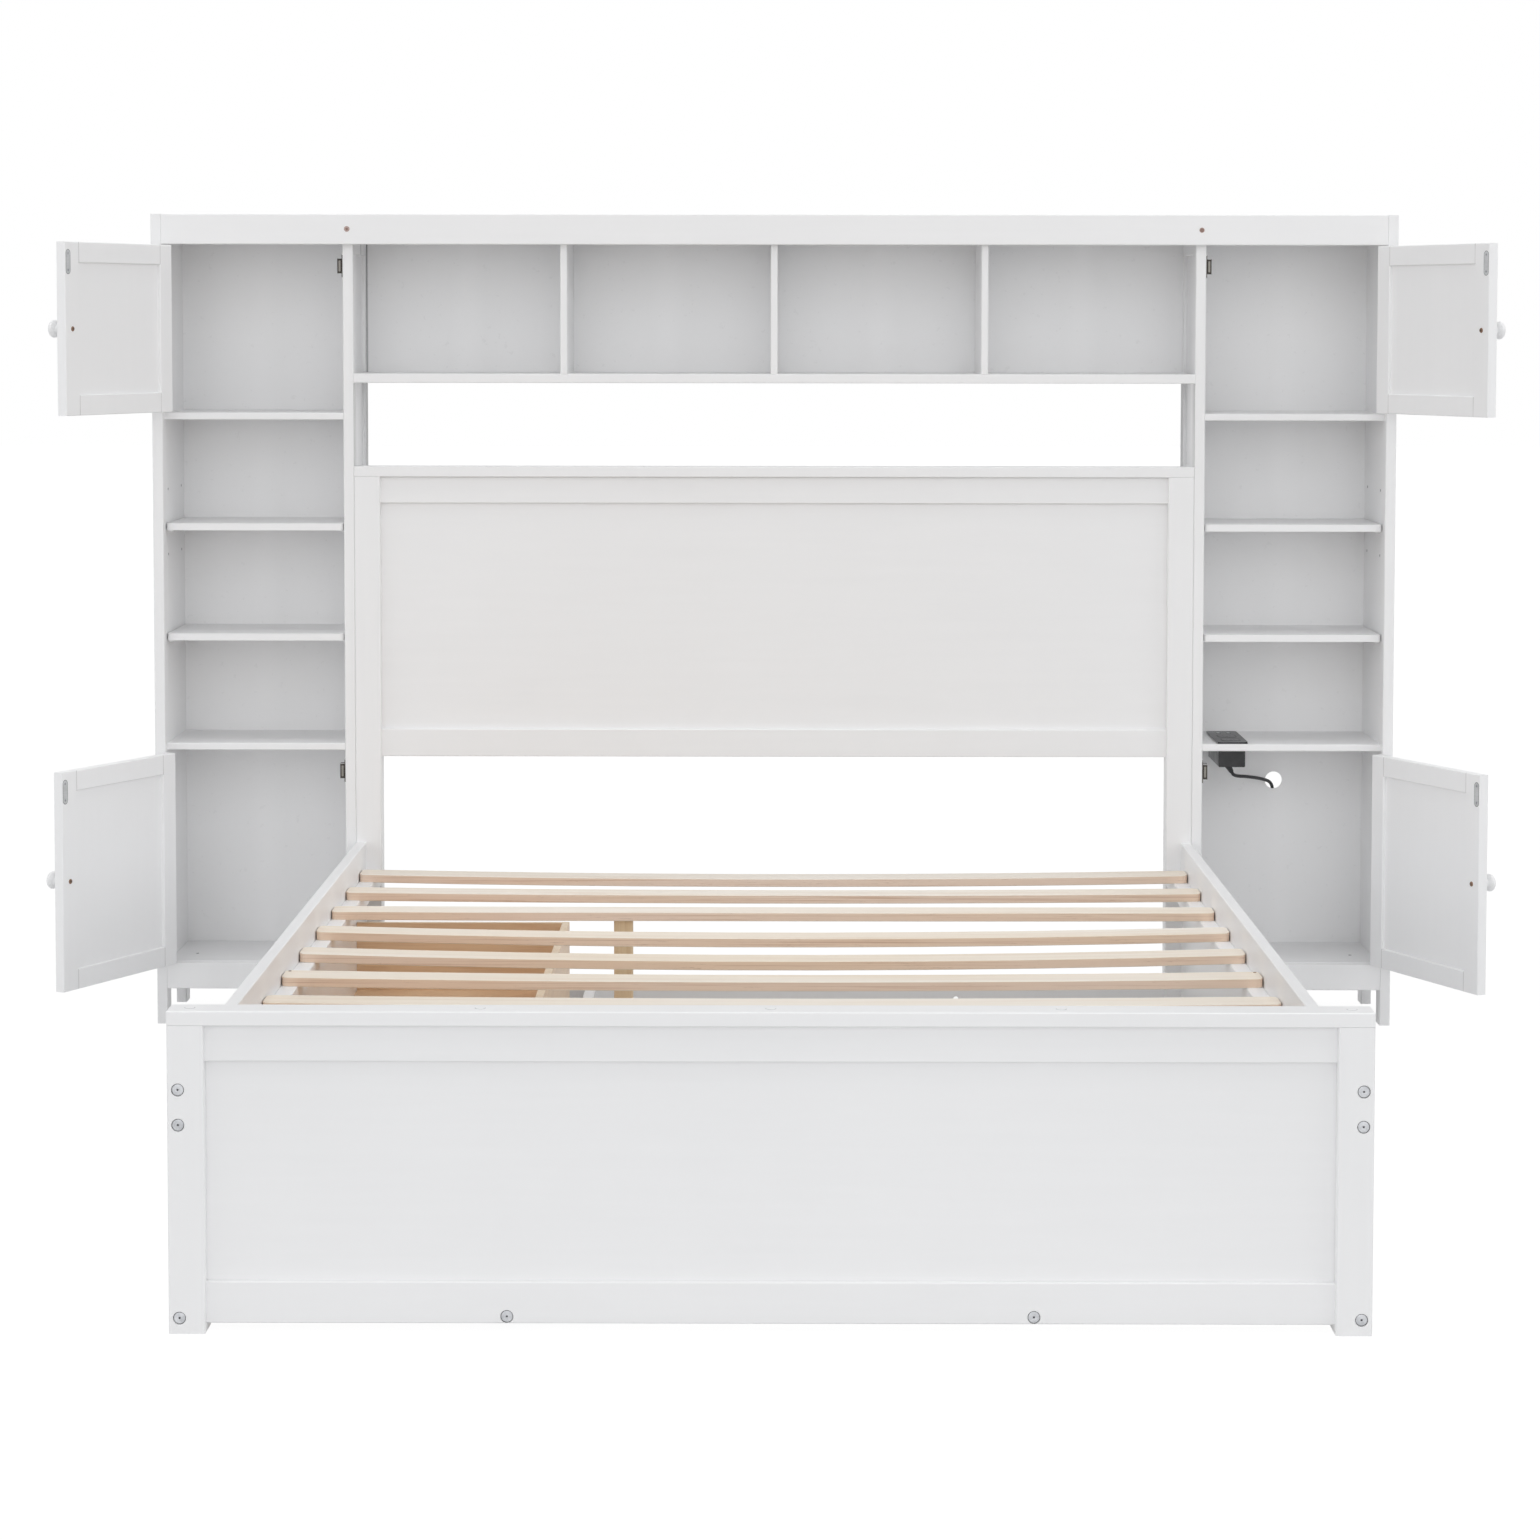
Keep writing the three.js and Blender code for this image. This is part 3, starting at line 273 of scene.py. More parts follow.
def inner_side_lacquer():
    """Paint of the towers' inner sides, with painted shade along the joint against the bed posts and painted
    shades above it
    """
    look = Look("white_lacquer_inner_side", WHITE_HIGH, 0.4, Specular_IOR_Level=PAINT_GLOSS)
    tone = paint_surface(look, (70.0, 70.0, 4.0))
    x, y, z = look.split()
    outward = look.math("LESS_THAN", look.math("ABSOLUTE", x), INNER_SIDE_X + FACE_SLACK)
    below = look.math("LESS_THAN", z, HEAD_TOP)
    # Painted shade in the gap between each bed post and the inner side, below the headboard's top
    painted_seam_shade = look.math("MULTIPLY", below, look.math("LESS_THAN", y, HEAD_FRONT_Y))
    above = look.between(z, HEAD_TOP, BRIDGE_BOTTOM)
    # Painted shade near the front edge, between the headboard and the bridge shelf
    shade = look.math("MULTIPLY", above, look.remap(y, *POST_SHADE_Y, POST_SHADE, 0.0))
    # Painted shade near the rear edge, fading out lower down
    gap = look.math("MULTIPLY", look.remap(z, *REAR_SHADE_Z), look.math("LESS_THAN", z, BRIDGE_BOTTOM))
    rear = look.math("MULTIPLY", gap, look.remap(y, *REAR_SHADE_Y, 0.0, REAR_SHADE))
    painted_seam_shade = look.math("MULTIPLY", painted_seam_shade, SEAM_SHADE)
    dark = look.math("MAXIMUM", painted_seam_shade, look.math("MAXIMUM", shade, rear))
    # In the left cubby: a dark line at the side joint, and painted shade in the corner at the back
    joint = look.math("MULTIPLY", look.line(y, SIDE_JOINT_Y, SIDE_JOINT_REACH), SIDE_JOINT_SHADE)
    corner = look.math("MULTIPLY", look.line(y, CORNER_Y, CORNER_REACH), CORNER_SHADE)
    joints = look.math("MAXIMUM", joint, corner)
    raised = look.math("GREATER_THAN", z, BRIDGE_TOP)
    cubby = look.math("MULTIPLY", raised, look.math("LESS_THAN", x, 0.0))
    dark = look.math("MAXIMUM", dark, look.math("MULTIPLY", cubby, joints))
    dark = look.math("MULTIPLY", outward, dark)
    look.color(look.mix(dark, look.mix(tone, WHITE_LOW, WHITE_HIGH), PAINTED_SHADE_AND_JOINT_DARK))
    return look.material


def white_back():
    """Coated hardboard of the back panels, with a painted highlight band down each bay and painted shade in
    the corner joint of the left cubby
    """
    look = Look("white_back", WHITE_HIGH, 0.26, Specular_IOR_Level=0.5)
    cloud = look.noise(3.2, 2.0, 0.5)
    x, _, z = look.split()
    across = look.math("ABSOLUTE", x)
    # Painted highlight: a soft band of brighter colour down the middle of each bay
    painted_highlight = None
    for bay_x in BAY_HIGHLIGHT_CENTRES:
        away = look.math("ABSOLUTE", look.math("SUBTRACT", across, bay_x))
        band = look.remap(away, *HIGHLIGHT_REACH, 1.0, 0.0, "SMOOTHSTEP")
        painted_highlight = band if painted_highlight is None else look.math("MAXIMUM", painted_highlight, band)
    body = look.mix(look.remap(cloud, *NOISE_SPREAD), BACK_LOW, BACK_HIGH)
    body = look.mix(painted_highlight, body, BACK_PAINTED_HIGHLIGHT)
    # Painted shade in the corner where the left cubby's back panel meets the inner side
    corner = look.math("MULTIPLY", look.line(x, PANEL_GAP_X, PANEL_GAP_REACH), PANEL_GAP_SHADE)
    corner = look.math("MULTIPLY", corner, look.math("GREATER_THAN", z, BRIDGE_TOP))
    look.color(look.mix(corner, body, PAINTED_SHADE_AND_JOINT_DARK))
    look.roughness(look.remap(look.noise(90.0, 3.0, 0.6), *NOISE_SPREAD, 0.27, 0.34))
    look.bump(look.noise(3.0, 2.0, 0.4), 0.10, 0.0010)
    look.bump(look.noise(600.0, 2.0, 0.5), 0.06, 0.0003)
    return look.material


def door_lacquer(name, axis, turn, joints):
    """Painted door with the hairlines where its rails meet its stiles, in the closed door's own places"""
    look = Look(name, WHITE_HIGH, 0.4, Specular_IOR_Level=PAINT_GLOSS)
    tone = paint_surface(look, (90.0, 90.0, 5.0))
    inputs = {"Vector": look.place, "Location": axis, "Rotation": (0, 0, turn)}
    closed = look.add("ShaderNodeMapping", {"vector_type": "TEXTURE"}, inputs).outputs["Vector"]
    across, _, up = look.split(closed)
    hairs = None
    for joint_x in joints["x"]:
        hair = look.line(across, joint_x, HAIR_REACH)
        hairs = hair if hairs is None else look.math("MAXIMUM", hairs, hair)
    rails = None
    for low, high in joints["z"]:
        rail = look.between(up, low, high, HAIR_END)
        rails = rail if rails is None else look.math("MAXIMUM", rails, rail)
    hair = look.math("MULTIPLY", hairs, rails)
    broken = look.remap(look.noise(30.0, 3.0, 0.6), 0.35, 0.6, 0.6, 0.95)
    hair = look.math("MULTIPLY", hair, broken)
    body = look.mix(tone, WHITE_HIGH, WHITE_DOOR)
    look.color(look.mix(hair, body, HAIR_DARK))
    look.bump(look.math("SUBTRACT", 1.0, hair), 0.5, 0.0003)
    return look.material


def slat_wood():
    """Bent laminated slats with a pale top, layered edges, and the two painted cleats that carry them"""
    look = Look("slat_wood", (0.8, 0.66, 0.5), 0.55, Specular_IOR_Level=0.3)
    x, y, z = look.split()
    along = look.stretch((2.2, 55.0, 55.0))
    fibre = look.noise(1.0, 5.0, 0.62, along, 0.4)
    fine = look.noise(1.0, 3.0, 0.7, look.stretch((9.0, 420.0, 420.0)))
    wide = look.noise(1.0, 3.0, 0.5, look.stretch((0.9, 5.1, 5.1)))
    top = look.mix(look.remap(wide, *NOISE_MIDDLE), (0.87, 0.77, 0.64), (0.92, 0.86, 0.78))
    top = look.mix(look.remap(fibre, 0.5, 0.78, 0.0, 0.4), top, (0.70, 0.53, 0.38))
    top = look.mix(look.remap(fine, 0.55, 0.85, 0.0, 0.25), top, (0.62, 0.43, 0.28))
    veins = look.noise(1.0, 4.0, 0.65, look.stretch((3.0, 3.0, 420.0)), 0.3)
    flecks = look.noise(1.0, 4.0, 0.75, look.stretch((22.0, 22.0, 620.0)))
    edge = look.mix(look.remap(wide, *NOISE_MIDDLE), (0.83, 0.63, 0.47), (0.86, 0.69, 0.57))
    edge = look.mix(look.remap(veins, 0.52, 0.72, 0.0, 0.8), edge, (0.58, 0.36, 0.24))
    edge = look.mix(look.remap(flecks, 0.62, 0.76, 0.0, 0.85), edge, (0.30, 0.155, 0.085))
    parts = look.normal_parts()
    flat = look.remap(look.math("ABSOLUTE", parts[2]), 0.4, 0.6)
    wood = look.mix(flat, edge, top)
    cleat = look.math(
        "MULTIPLY",
        look.math("GREATER_THAN", look.math("ABSOLUTE", x), CLEAT_INNER_X),
        look.math("LESS_THAN", z, CLEAT_TOP),
    )
    white = look.mix(look.remap(look.noise(2.6, 3.0), *NOISE_MIDDLE), WHITE_LOW, WHITE_HIGH)
    look.color(look.mix(cleat, wood, white))
    look.roughness(look.mix(cleat, look.remap(fibre, 0.3, 0.8, 0.5, 0.68), (0.42, 0.42, 0.42)))
    raw = look.math("MULTIPLY", look.math("ADD", fibre, fine), look.math("SUBTRACT", 1.0, cleat))
    look.bump(raw, 0.22, 0.0007)
    return look.material


def drawer_ply():
    """Varnished plywood: orange-tan faces with grain along the walls, pale layered top edges"""
    look = Look("drawer_ply", (0.65, 0.38, 0.18), 0.42, Specular_IOR_Level=0.45)
    _, _, z = look.split()
    rings = look.noise(1.0, 4.0, 0.6, look.stretch((3.2, 3.2, 34.0)), 1.1)
    fine = look.noise(1.0, 4.0, 0.7, look.stretch((7.0, 7.0, 260.0)))
    face = look.mix(look.remap(rings, *NOISE_SPREAD), (0.75, 0.52, 0.33), (0.87, 0.67, 0.47))
    face = look.mix(look.remap(fine, 0.52, 0.82, 0.0, 0.5), face, (0.46, 0.25, 0.12))
    parts = look.normal_parts()
    upward = look.remap(parts[2], 0.5, 0.8)
    rim = look.math("MULTIPLY", upward, look.math("GREATER_THAN", z, DRAWER_RIM_Z))
    plies = look.noise(1.0, 3.0, 0.6, look.stretch((110.0, 110.0, 20.0)))
    pale = look.mix(look.remap(plies, *NOISE_MIDDLE), (0.76, 0.60, 0.42), (0.86, 0.74, 0.58))
    look.color(look.mix(rim, face, pale))
    look.roughness(look.remap(rings, *NOISE_SPREAD, 0.36, 0.5))
    look.bump(look.math("ADD", rings, fine), 0.16, 0.0006)
    return look.material


def leg_wood():
    """Clear-coated pine of the middle leg, with its grain upright"""
    look = Look("leg_wood", (0.74, 0.53, 0.28), 0.5, Specular_IOR_Level=0.35)
    grain = look.noise(1.0, 5.0, 0.62, look.stretch((70.0, 70.0, 4.0)), 0.5)
    fine = look.noise(1.0, 3.0, 0.7, look.stretch((420.0, 420.0, 12.0)))
    tone = look.mix(look.remap(grain, *NOISE_SPREAD), (0.84, 0.67, 0.46), (0.72, 0.51, 0.30))
    look.color(look.mix(look.remap(fine, 0.55, 0.85, 0.0, 0.5), tone, (0.45, 0.26, 0.11)))
    look.roughness(look.remap(grain, *NOISE_SPREAD, 0.45, 0.6))
    look.bump(look.math("ADD", grain, fine), 0.2, 0.0006)
    return look.material


def metal(name, dark, pale, roughness, metallic, brushed=(60.0, 60.0, 900.0)):
    """Plated or painted steel with fine brushing"""
    look = Look(name, pale, roughness, Metallic=metallic)
    streak = look.noise(1.0, 3.0, 0.6, look.stretch(brushed))
    cloud = look.noise(60.0, 3.0, 0.6)
    tone = look.math("MULTIPLY", look.math("ADD", streak, cloud), 0.5)
    look.color(look.mix(look.remap(tone, *NOISE_MIDDLE), dark, pale))
    look.roughness(look.remap(tone, *NOISE_SPREAD, roughness - 0.07, roughness + 0.09))
    look.bump(streak, 0.15, 0.0002)
    return look.material


def plastic(name, dark, pale, roughness, grain=900.0):
    """Moulded plastic with a fine grain"""
    look = Look(name, pale, roughness, Specular_IOR_Level=0.45)
    cloud = look.noise(35.0, 3.0, 0.6)
    look.color(look.mix(look.remap(cloud, *NOISE_MIDDLE), dark, pale))
    look.roughness(look.remap(cloud, *NOISE_SPREAD, roughness - 0.06, roughness + 0.08))
    look.bump(look.noise(grain, 2.0, 0.5), 0.16, 0.0003)
    return look.material


def raw_hole():
    """Bare brown board seen inside an open screw hole, darkened with painted shade of the hole's depth"""
    look = Look("raw_hole", (0.42, 0.24, 0.17), 0.8)
    crumbs = look.noise(1400.0, 3.0, 0.7)
    look.color(look.mix(look.remap(crumbs, *NOISE_MIDDLE), (0.20, 0.12, 0.095), (0.36, 0.24, 0.20)))
    look.roughness(look.remap(crumbs, *NOISE_SPREAD, 0.7, 0.92))
    look.bump(crumbs, 0.6, 0.0006)
    return look.material


def pink_chamfer():
    """Pinkish-brown board under the paint, round a countersunk hole"""
    look = Look("pink_chamfer", (0.62, 0.46, 0.42), 0.7)
    crumbs = look.noise(1100.0, 3.0, 0.7)
    look.color(look.mix(look.remap(crumbs, *NOISE_MIDDLE), (0.40, 0.27, 0.24), (0.60, 0.47, 0.44)))
    look.roughness(look.remap(crumbs, *NOISE_SPREAD, 0.6, 0.8))
    look.bump(crumbs, 0.4, 0.0004)
    return look.material


def plug_black():
    """Moulded plug with plain metal prongs beyond its body"""
    look = Look("plug_black", (0.018, 0.018, 0.02), 0.45)
    _, y, _ = look.split()
    prong = look.math("GREATER_THAN", y, PRONG_Y)
    cloud = look.noise(60.0, 3.0, 0.6)
    body = look.mix(cloud, (0.014, 0.014, 0.016), (0.028, 0.028, 0.03))
    brass = look.mix(cloud, (0.62, 0.55, 0.42), (0.74, 0.67, 0.52))
    look.color(look.mix(prong, body, brass))
    look.put(look.shader, "Metallic", prong)
    look.roughness(look.remap(cloud, *NOISE_SPREAD, 0.36, 0.5))
    look.bump(look.noise(900.0, 2.0), 0.2, 0.0003)
    return look.material


LACQUER_UP = white_lacquer("white_lacquer_upright", (70.0, 70.0, 4.0))
LACQUER_ALONG = white_lacquer("white_lacquer_along", (4.0, 70.0, 70.0))
LACQUER_DEEP = white_lacquer("white_lacquer_deep", (70.0, 4.0, 70.0))
LACQUER_TOP = white_lacquer("white_lacquer_top", (4.0, 70.0, 70.0), TOP_GLOSS)
LACQUER_INNER = inner_side_lacquer()
BACK = white_back()
SLAT = slat_wood()
PLY = drawer_ply()
LEG = leg_wood()
ZINC = metal("zinc_bolt", (0.40, 0.41, 0.43), (0.62, 0.63, 0.65), 0.5, 0.8, (160.0, 160.0, 160.0))
STRIKE = metal("strike_steel", (0.52, 0.53, 0.54), (0.66, 0.67, 0.68), 0.45, 0.8)
# Dark steel that paints the shade round let-in plates, round bolt heads and in recesses
STEEL_RIM_SHADE = metal("strike_rim_shade", (0.16, 0.16, 0.165), (0.26, 0.26, 0.27), 0.45, 0.7)
BRONZE = metal("dark_bronze", (0.022, 0.018, 0.016), (0.055, 0.046, 0.040), 0.55, 0.3)
SCREW = metal("brown_screw", (0.20, 0.11, 0.065), (0.34, 0.21, 0.14), 0.45, 0.6)
MAGNET = metal("magnet_grey", (0.20, 0.19, 0.17), (0.30, 0.285, 0.26), 0.45, 0.5)
BLACK = plastic("black_plastic", (0.014, 0.014, 0.016), (0.026, 0.026, 0.028), 0.42)
PLATE = plastic("socket_plate", (0.105, 0.105, 0.110), (0.135, 0.135, 0.14), 0.42, 500.0)
GLOSS = plastic("gloss_black", (0.014, 0.014, 0.016), (0.024, 0.024, 0.026), 0.16)
LEAD = plastic("cord_jacket", (0.016, 0.016, 0.018), (0.03, 0.03, 0.032), 0.5, 1200.0)
# Grey rims and dark cores that paint the shade in holes and round recessed plugs
HOLE_RIM_SHADE = plastic("hole_rim_shade", (0.52, 0.52, 0.53), (0.62, 0.62, 0.63), 0.5)
PAINTED_HOLE_SHADE = plastic("hole_shade", (0.09, 0.09, 0.095), (0.16, 0.16, 0.165), 0.7)
HOLE = raw_hole()
PINK = pink_chamfer()
PLUG = plug_black()


# Mesh pieces
SMOOTH_UNDER = math.radians(30)
BEVEL_OVER = math.radians(40)
ROUND_STEPS = 24
BOLT_STEPS = 28
SMALL_STEPS = 20
HEX_STEPS = 6


def finish_piece(name, mesh_data, material, body, bevel=0.0, turn=None):
    """One piece at its place at rest, riding on a body"""
    mesh = bpy.data.meshes.new(name)
    bmesh.ops.recalc_face_normals(mesh_data, faces=mesh_data.faces)
    if turn is not None:
        bmesh.ops.transform(mesh_data, matrix=turn, verts=mesh_data.verts)
    mesh_data.to_mesh(mesh)
    mesh_data.free()
    piece = bpy.data.objects.new(name, mesh)
    bpy.context.scene.collection.objects.link(piece)
    materials = material if isinstance(material, (list, tuple)) else [material]
    for entry in materials:
        mesh.materials.append(entry)
    if bevel:
        edge = piece.modifiers.new("edge", "BEVEL")
        edge.width = bevel
        edge.segments = 2
        edge.limit_method = "ANGLE"
        edge.angle_limit = BEVEL_OVER
    for face in mesh.polygons:
        face.use_smooth = True
    mesh.set_sharp_from_angle(angle=SMOOTH_UNDER)
    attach(piece, body)


def add_lathe(target, profile, place, direction, steps=ROUND_STEPS, materials=None):
    """Turns (radius, rise) pairs round a direction; profile ends at radius 0 are closed to a point"""
    turn = Vector((0, 0, 1)).rotation_difference(Vector(direction)).to_matrix().to_4x4()
    matrix = Matrix.Translation(Vector(place)) @ turn
    rings = []
    for radius, rise in profile:
        if radius == 0:
            rings.append([target.verts.new(matrix @ Vector((0, 0, rise)))])
            continue
        ring = []
        for i in range(steps):
            angle = 2 * math.pi * i / steps
            spot = Vector((radius * math.cos(angle), radius * math.sin(angle), rise))
            ring.append(target.verts.new(matrix @ spot))
        rings.append(ring)
    for index, (first, second) in enumerate(zip(rings, rings[1:])):
        for i in range(steps):
            j = (i + 1) % steps
            if len(first) == 1:
                face = target.faces.new((first[0], second[j], second[i]))
            elif len(second) == 1:
                face = target.faces.new((first[i], first[j], second[0]))
            else:
                face = target.faces.new((first[i], first[j], second[j], second[i]))
            face.material_index = materials[index] if materials else 0


def add_prism(target, outline, low, high, place, direction, up=(0, 0, 1), material=0):
    """A closed outline of (across, up) pairs, raised from low to high along a direction"""
    ahead = Vector(direction).normalized()
    upward = Vector(up)
    across = upward.cross(ahead).normalized()
    base = Vector(place)
    rings = []
    for rise in (low, high):
        spots = [base + across * u + upward * v + ahead * rise for u, v in outline]
        rings.append([target.verts.new(spot) for spot in spots])
    target.faces.new(rings[0]).material_index = material
    target.faces.new(list(reversed(rings[1]))).material_index = material
    for i in range(len(outline)):
        j = (i + 1) % len(outline)
        target.faces.new((rings[0][i], rings[1][i], rings[1][j], rings[0][j])).material_index = material


LEAST_FLAT = 0.00001


def rounded(width, height, radius, steps=5, centre=(0, 0)):
    """Outline of a rectangle with round corners"""
    points = []
    radius = min(radius, width / 2 - LEAST_FLAT, height / 2 - LEAST_FLAT)
    corners = ((1, 1, 0), (-1, 1, 90), (-1, -1, 180), (1, -1, 270))
    for sign_x, sign_y, start in corners:
        for i in range(steps + 1):
            angle = math.radians(start + 90 * i / steps)
            points.append((
                centre[0] + sign_x * (width / 2 - radius) + radius * math.cos(angle),
                centre[1] + sign_y * (height / 2 - radius) + radius * math.sin(angle),
            ))
    return points


SCREW_SINK = 0.0004
SCREW_EDGE_SHARE = 0.35
SCREW_FLAT_SHARE = 0.86
CROSS_LENGTH_SHARE = 1.1
CROSS_WIDTH_SHARE = 0.24
CROSS_CORNER_SHARE = 0.1
CROSS_SINK = 0.00005
CROSS_RISE = 0.00012


def add_cross_screw(target, place, direction, radius, head, material=0, recess=1):
    """Low countersunk screw head with a dark cross on it, painted shade of its cross recess"""
    edge, flat = head * SCREW_EDGE_SHARE, radius * SCREW_FLAT_SHARE
    profile = [(radius, -SCREW_SINK), (radius, edge), (flat, head), (0, head)]
    add_lathe(target, profile, place, direction, SMALL_STEPS, [material] * 3)
    long_side = radius * CROSS_LENGTH_SHARE
    short_side = radius * CROSS_WIDTH_SHARE
    up = (0, 0, 1) if direction[2] == 0 else (0, 1, 0)
    # The cross is raised, not cut: its dark material paints the shade inside the recess
    for width, height in ((long_side, short_side), (short_side, long_side)):
        outline = rounded(width, height, radius * CROSS_CORNER_SHARE, steps=2)
        add_prism(target, outline, head - CROSS_SINK, head + CROSS_RISE, place, direction, up, recess)


def door_turn(level, word):
    """Turn about the hinges that takes a piece from the shut door to the door at rest"""
    side = SIDES[word]
    axis = Matrix.Translation((side * HINGE_AXIS[0], HINGE_AXIS[1], 0))
    return axis @ Matrix.Rotation(side * DOOR_OPEN[level, word], 4, "Z") @ axis.inverted()


# Cord, its strain relief, and the band round its coil
CORD_ROUTE = [
    (0.80713, 0.94228, 0.43467), (0.8113, 0.9487, 0.4286), (0.822, 0.965, 0.4236), (0.837, 0.987, 0.4202),
    (0.853, 1.011, 0.4158), (0.868, 1.034, 0.411), (0.8805, 1.0535, 0.4062), (0.8885, 1.066, 0.4024),
    (0.894, 1.0742, 0.398), (0.8976, 1.08, 0.3916), (0.8996, 1.084, 0.3828), (0.9, 1.0853, 0.371),
    (0.9, 1.0853, 0.35), (0.9, 1.0853, 0.3), (0.9, 1.0853, 0.24), (0.9, 1.0853, 0.18),
    (0.9, 1.0853, 0.12), (0.9, 1.0853, 0.07), (0.9, 1.0853, 0.042), (0.9, 1.0851, 0.0292),
    (0.9, 1.0818, 0.0166), (0.9, 1.0726, 0.0074), (0.9, 1.06, 0.0039), (0.9, 1.045, 0.0034),
    (0.9, 1.03, 0.0034), (0.9, 1.0103, 0.0034),
]
CORD_RADIUS = 0.003
CORD_SPACING = 0.006
CORD_TO_PLUG = 0.0303
COIL_CENTRE = (0.857625, 1.004)
COIL_OUTER = 0.042375
COIL_PITCH = 0.0067
COIL_TURNS = 5.5
COIL_FLOOR = 0.0034
COIL_STEPS = 36
CLIMB_START = 2.5
CLIMB_TURNS = 0.5


def catmull(points, spacing):
    """Points along a centripetal Catmull-Rom curve through the route"""
    points = [Vector(p) for p in points]
    ends = [2 * points[0] - points[1], 2 * points[-1] - points[-2]]
    chain = [ends[0], *points, ends[1]]
    found = [points[0]]
    for i in range(1, len(chain) - 2):
        p0, p1, p2, p3 = chain[i - 1:i + 3]
        t0 = 0.0
        t1 = t0 + (p1 - p0).length ** 0.5
        t2 = t1 + (p2 - p1).length ** 0.5
        t3 = t2 + (p3 - p2).length ** 0.5
        steps = max(1, round((p2 - p1).length / spacing))
        for k in range(1, steps + 1):
            t = t1 + (t2 - t1) * k / steps
            a1 = p0 * ((t1 - t) / (t1 - t0)) + p1 * ((t - t0) / (t1 - t0))
            a2 = p1 * ((t2 - t) / (t2 - t1)) + p2 * ((t - t1) / (t2 - t1))
            a3 = p2 * ((t3 - t) / (t3 - t2)) + p3 * ((t - t2) / (t3 - t2))
            b1 = a1 * ((t2 - t) / (t2 - t0)) + a2 * ((t - t0) / (t2 - t0))
            b2 = a2 * ((t3 - t) / (t3 - t1)) + a3 * ((t - t1) / (t3 - t1))
            found.append(b1 * ((t2 - t) / (t2 - t1)) + b2 * ((t - t1) / (t2 - t1)))
    return found


def coil_points():
    """Flat coil that winds inward, climbs over its own turns, and winds outward again"""
    found = []
    total = round(COIL_TURNS * COIL_STEPS)
    for i in range(total + 1):
        turn = i / COIL_STEPS
        inward = COIL_TURNS / 2 - abs(turn - COIL_TURNS / 2)
        radius = COIL_OUTER - COIL_PITCH * inward
        angle = -2 * math.pi * turn
        climb = min(1.0, max(0.0, (turn - CLIMB_START) / CLIMB_TURNS))
        rise = COIL_FLOOR + COIL_PITCH * climb * climb * (3 - 2 * climb)
        found.append(Vector((
            COIL_CENTRE[0] + radius * math.cos(angle), COIL_CENTRE[1] + radius * math.sin(angle), rise,
        )))
    return found


cord_points = catmull(CORD_ROUTE, CORD_SPACING) + coil_points()
cord_points.append(cord_points[-1] + Vector((0, CORD_TO_PLUG, 0)))
cord_curve = bpy.data.curves.new("power_cord", "CURVE")
cord_curve.dimensions = "3D"
cord_curve.bevel_depth = CORD_RADIUS
cord_curve.bevel_resolution = 4
cord_curve.use_fill_caps = True
spline = cord_curve.splines.new("POLY")
spline.points.add(len(cord_points) - 1)
for point, place in zip(spline.points, cord_points):
    point.co = (*place, 1)
spline.use_smooth = True
cord = bpy.data.objects.new("power_cord", cord_curve)
bpy.context.scene.collection.objects.link(cord)
cord_curve.materials.append(LEAD)
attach(cord, "frame")
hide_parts("power_cord_run", "power_cord_coil")

RELIEF_START = (0.79775, 0.928, 0.449)
RELIEF_RADIUS = 0.0058
RELIEF_TAPER = 0.0019
RELIEF_SINK = 0.0005
RELIEF_LIP = 0.0004
RELIEF_TIP_RADII = (0.0039, 0.0033)
RELIEF_RIBS = 6
RIB_DEPTHS = (0.0, 0.0, 0.0004, 0.0006)
RIB_SHARES = (0.06, 0.60, 0.68, 0.94)


def make_strain_relief():
    """Ribbed sleeve over the cone on the socket, thinner towards the cord"""
    line = Vector(CORD_ROUTE[0]) - Vector(RELIEF_START)
    profile = [(0.0, -RELIEF_SINK), (RELIEF_RADIUS, -RELIEF_SINK)]
    width = line.length / RELIEF_RIBS
    for rib in range(RELIEF_RIBS):
        radius = RELIEF_RADIUS - RELIEF_TAPER * rib / RELIEF_RIBS
        for depth, share in zip(RIB_DEPTHS, RIB_SHARES):
            profile.append((radius - depth, width * (rib + share)))
    tip, lip = RELIEF_TIP_RADII
    end = line.length + RELIEF_LIP
    profile += [(tip, line.length), (lip, end), (0.0, end)]
    relief = bmesh.new()
    add_lathe(relief, profile, RELIEF_START, line.normalized())
    finish_piece("cord_strain_relief", relief, BLACK, "frame")


BAND_REACH = (0.0205, 0.0462)
BAND_RISE = (0.0002, 0.0134)
BAND_HALF_WIDTH = 0.003
BAND_CORNER = 0.004
BAND_WALLS = 0.001
BAND_SKINS = 0.0002
BAND_INNER_CORNER = 0.0036


def make_coil_band():
    """Flat strap round one side of the coil's turns"""
    width = BAND_REACH[1] - BAND_REACH[0]
    height = BAND_RISE[1] - BAND_RISE[0]
    centre = (sum(BAND_REACH) / 2, sum(BAND_RISE) / 2)
    outside = rounded(width, height, BAND_CORNER, steps=4, centre=centre)
    inside = rounded(width - BAND_WALLS, height - BAND_SKINS, BAND_INNER_CORNER, steps=4, centre=centre)
    band = bmesh.new()
    rings = []
    for outline, sign in ((outside, -1), (outside, 1), (inside, 1), (inside, -1)):
        y = COIL_CENTRE[1] + sign * BAND_HALF_WIDTH
        rings.append([band.verts.new((COIL_CENTRE[0] - u, y, v)) for u, v in outline])
    for first, second in zip(rings, rings[1:] + rings[:1]):
        for i in range(len(first)):
            j = (i + 1) % len(first)
            band.faces.new((first[i], first[j], second[j], second[i]))
    finish_piece("cord_coil_band", band, BLACK, "frame")


make_strain_relief()
make_coil_band()


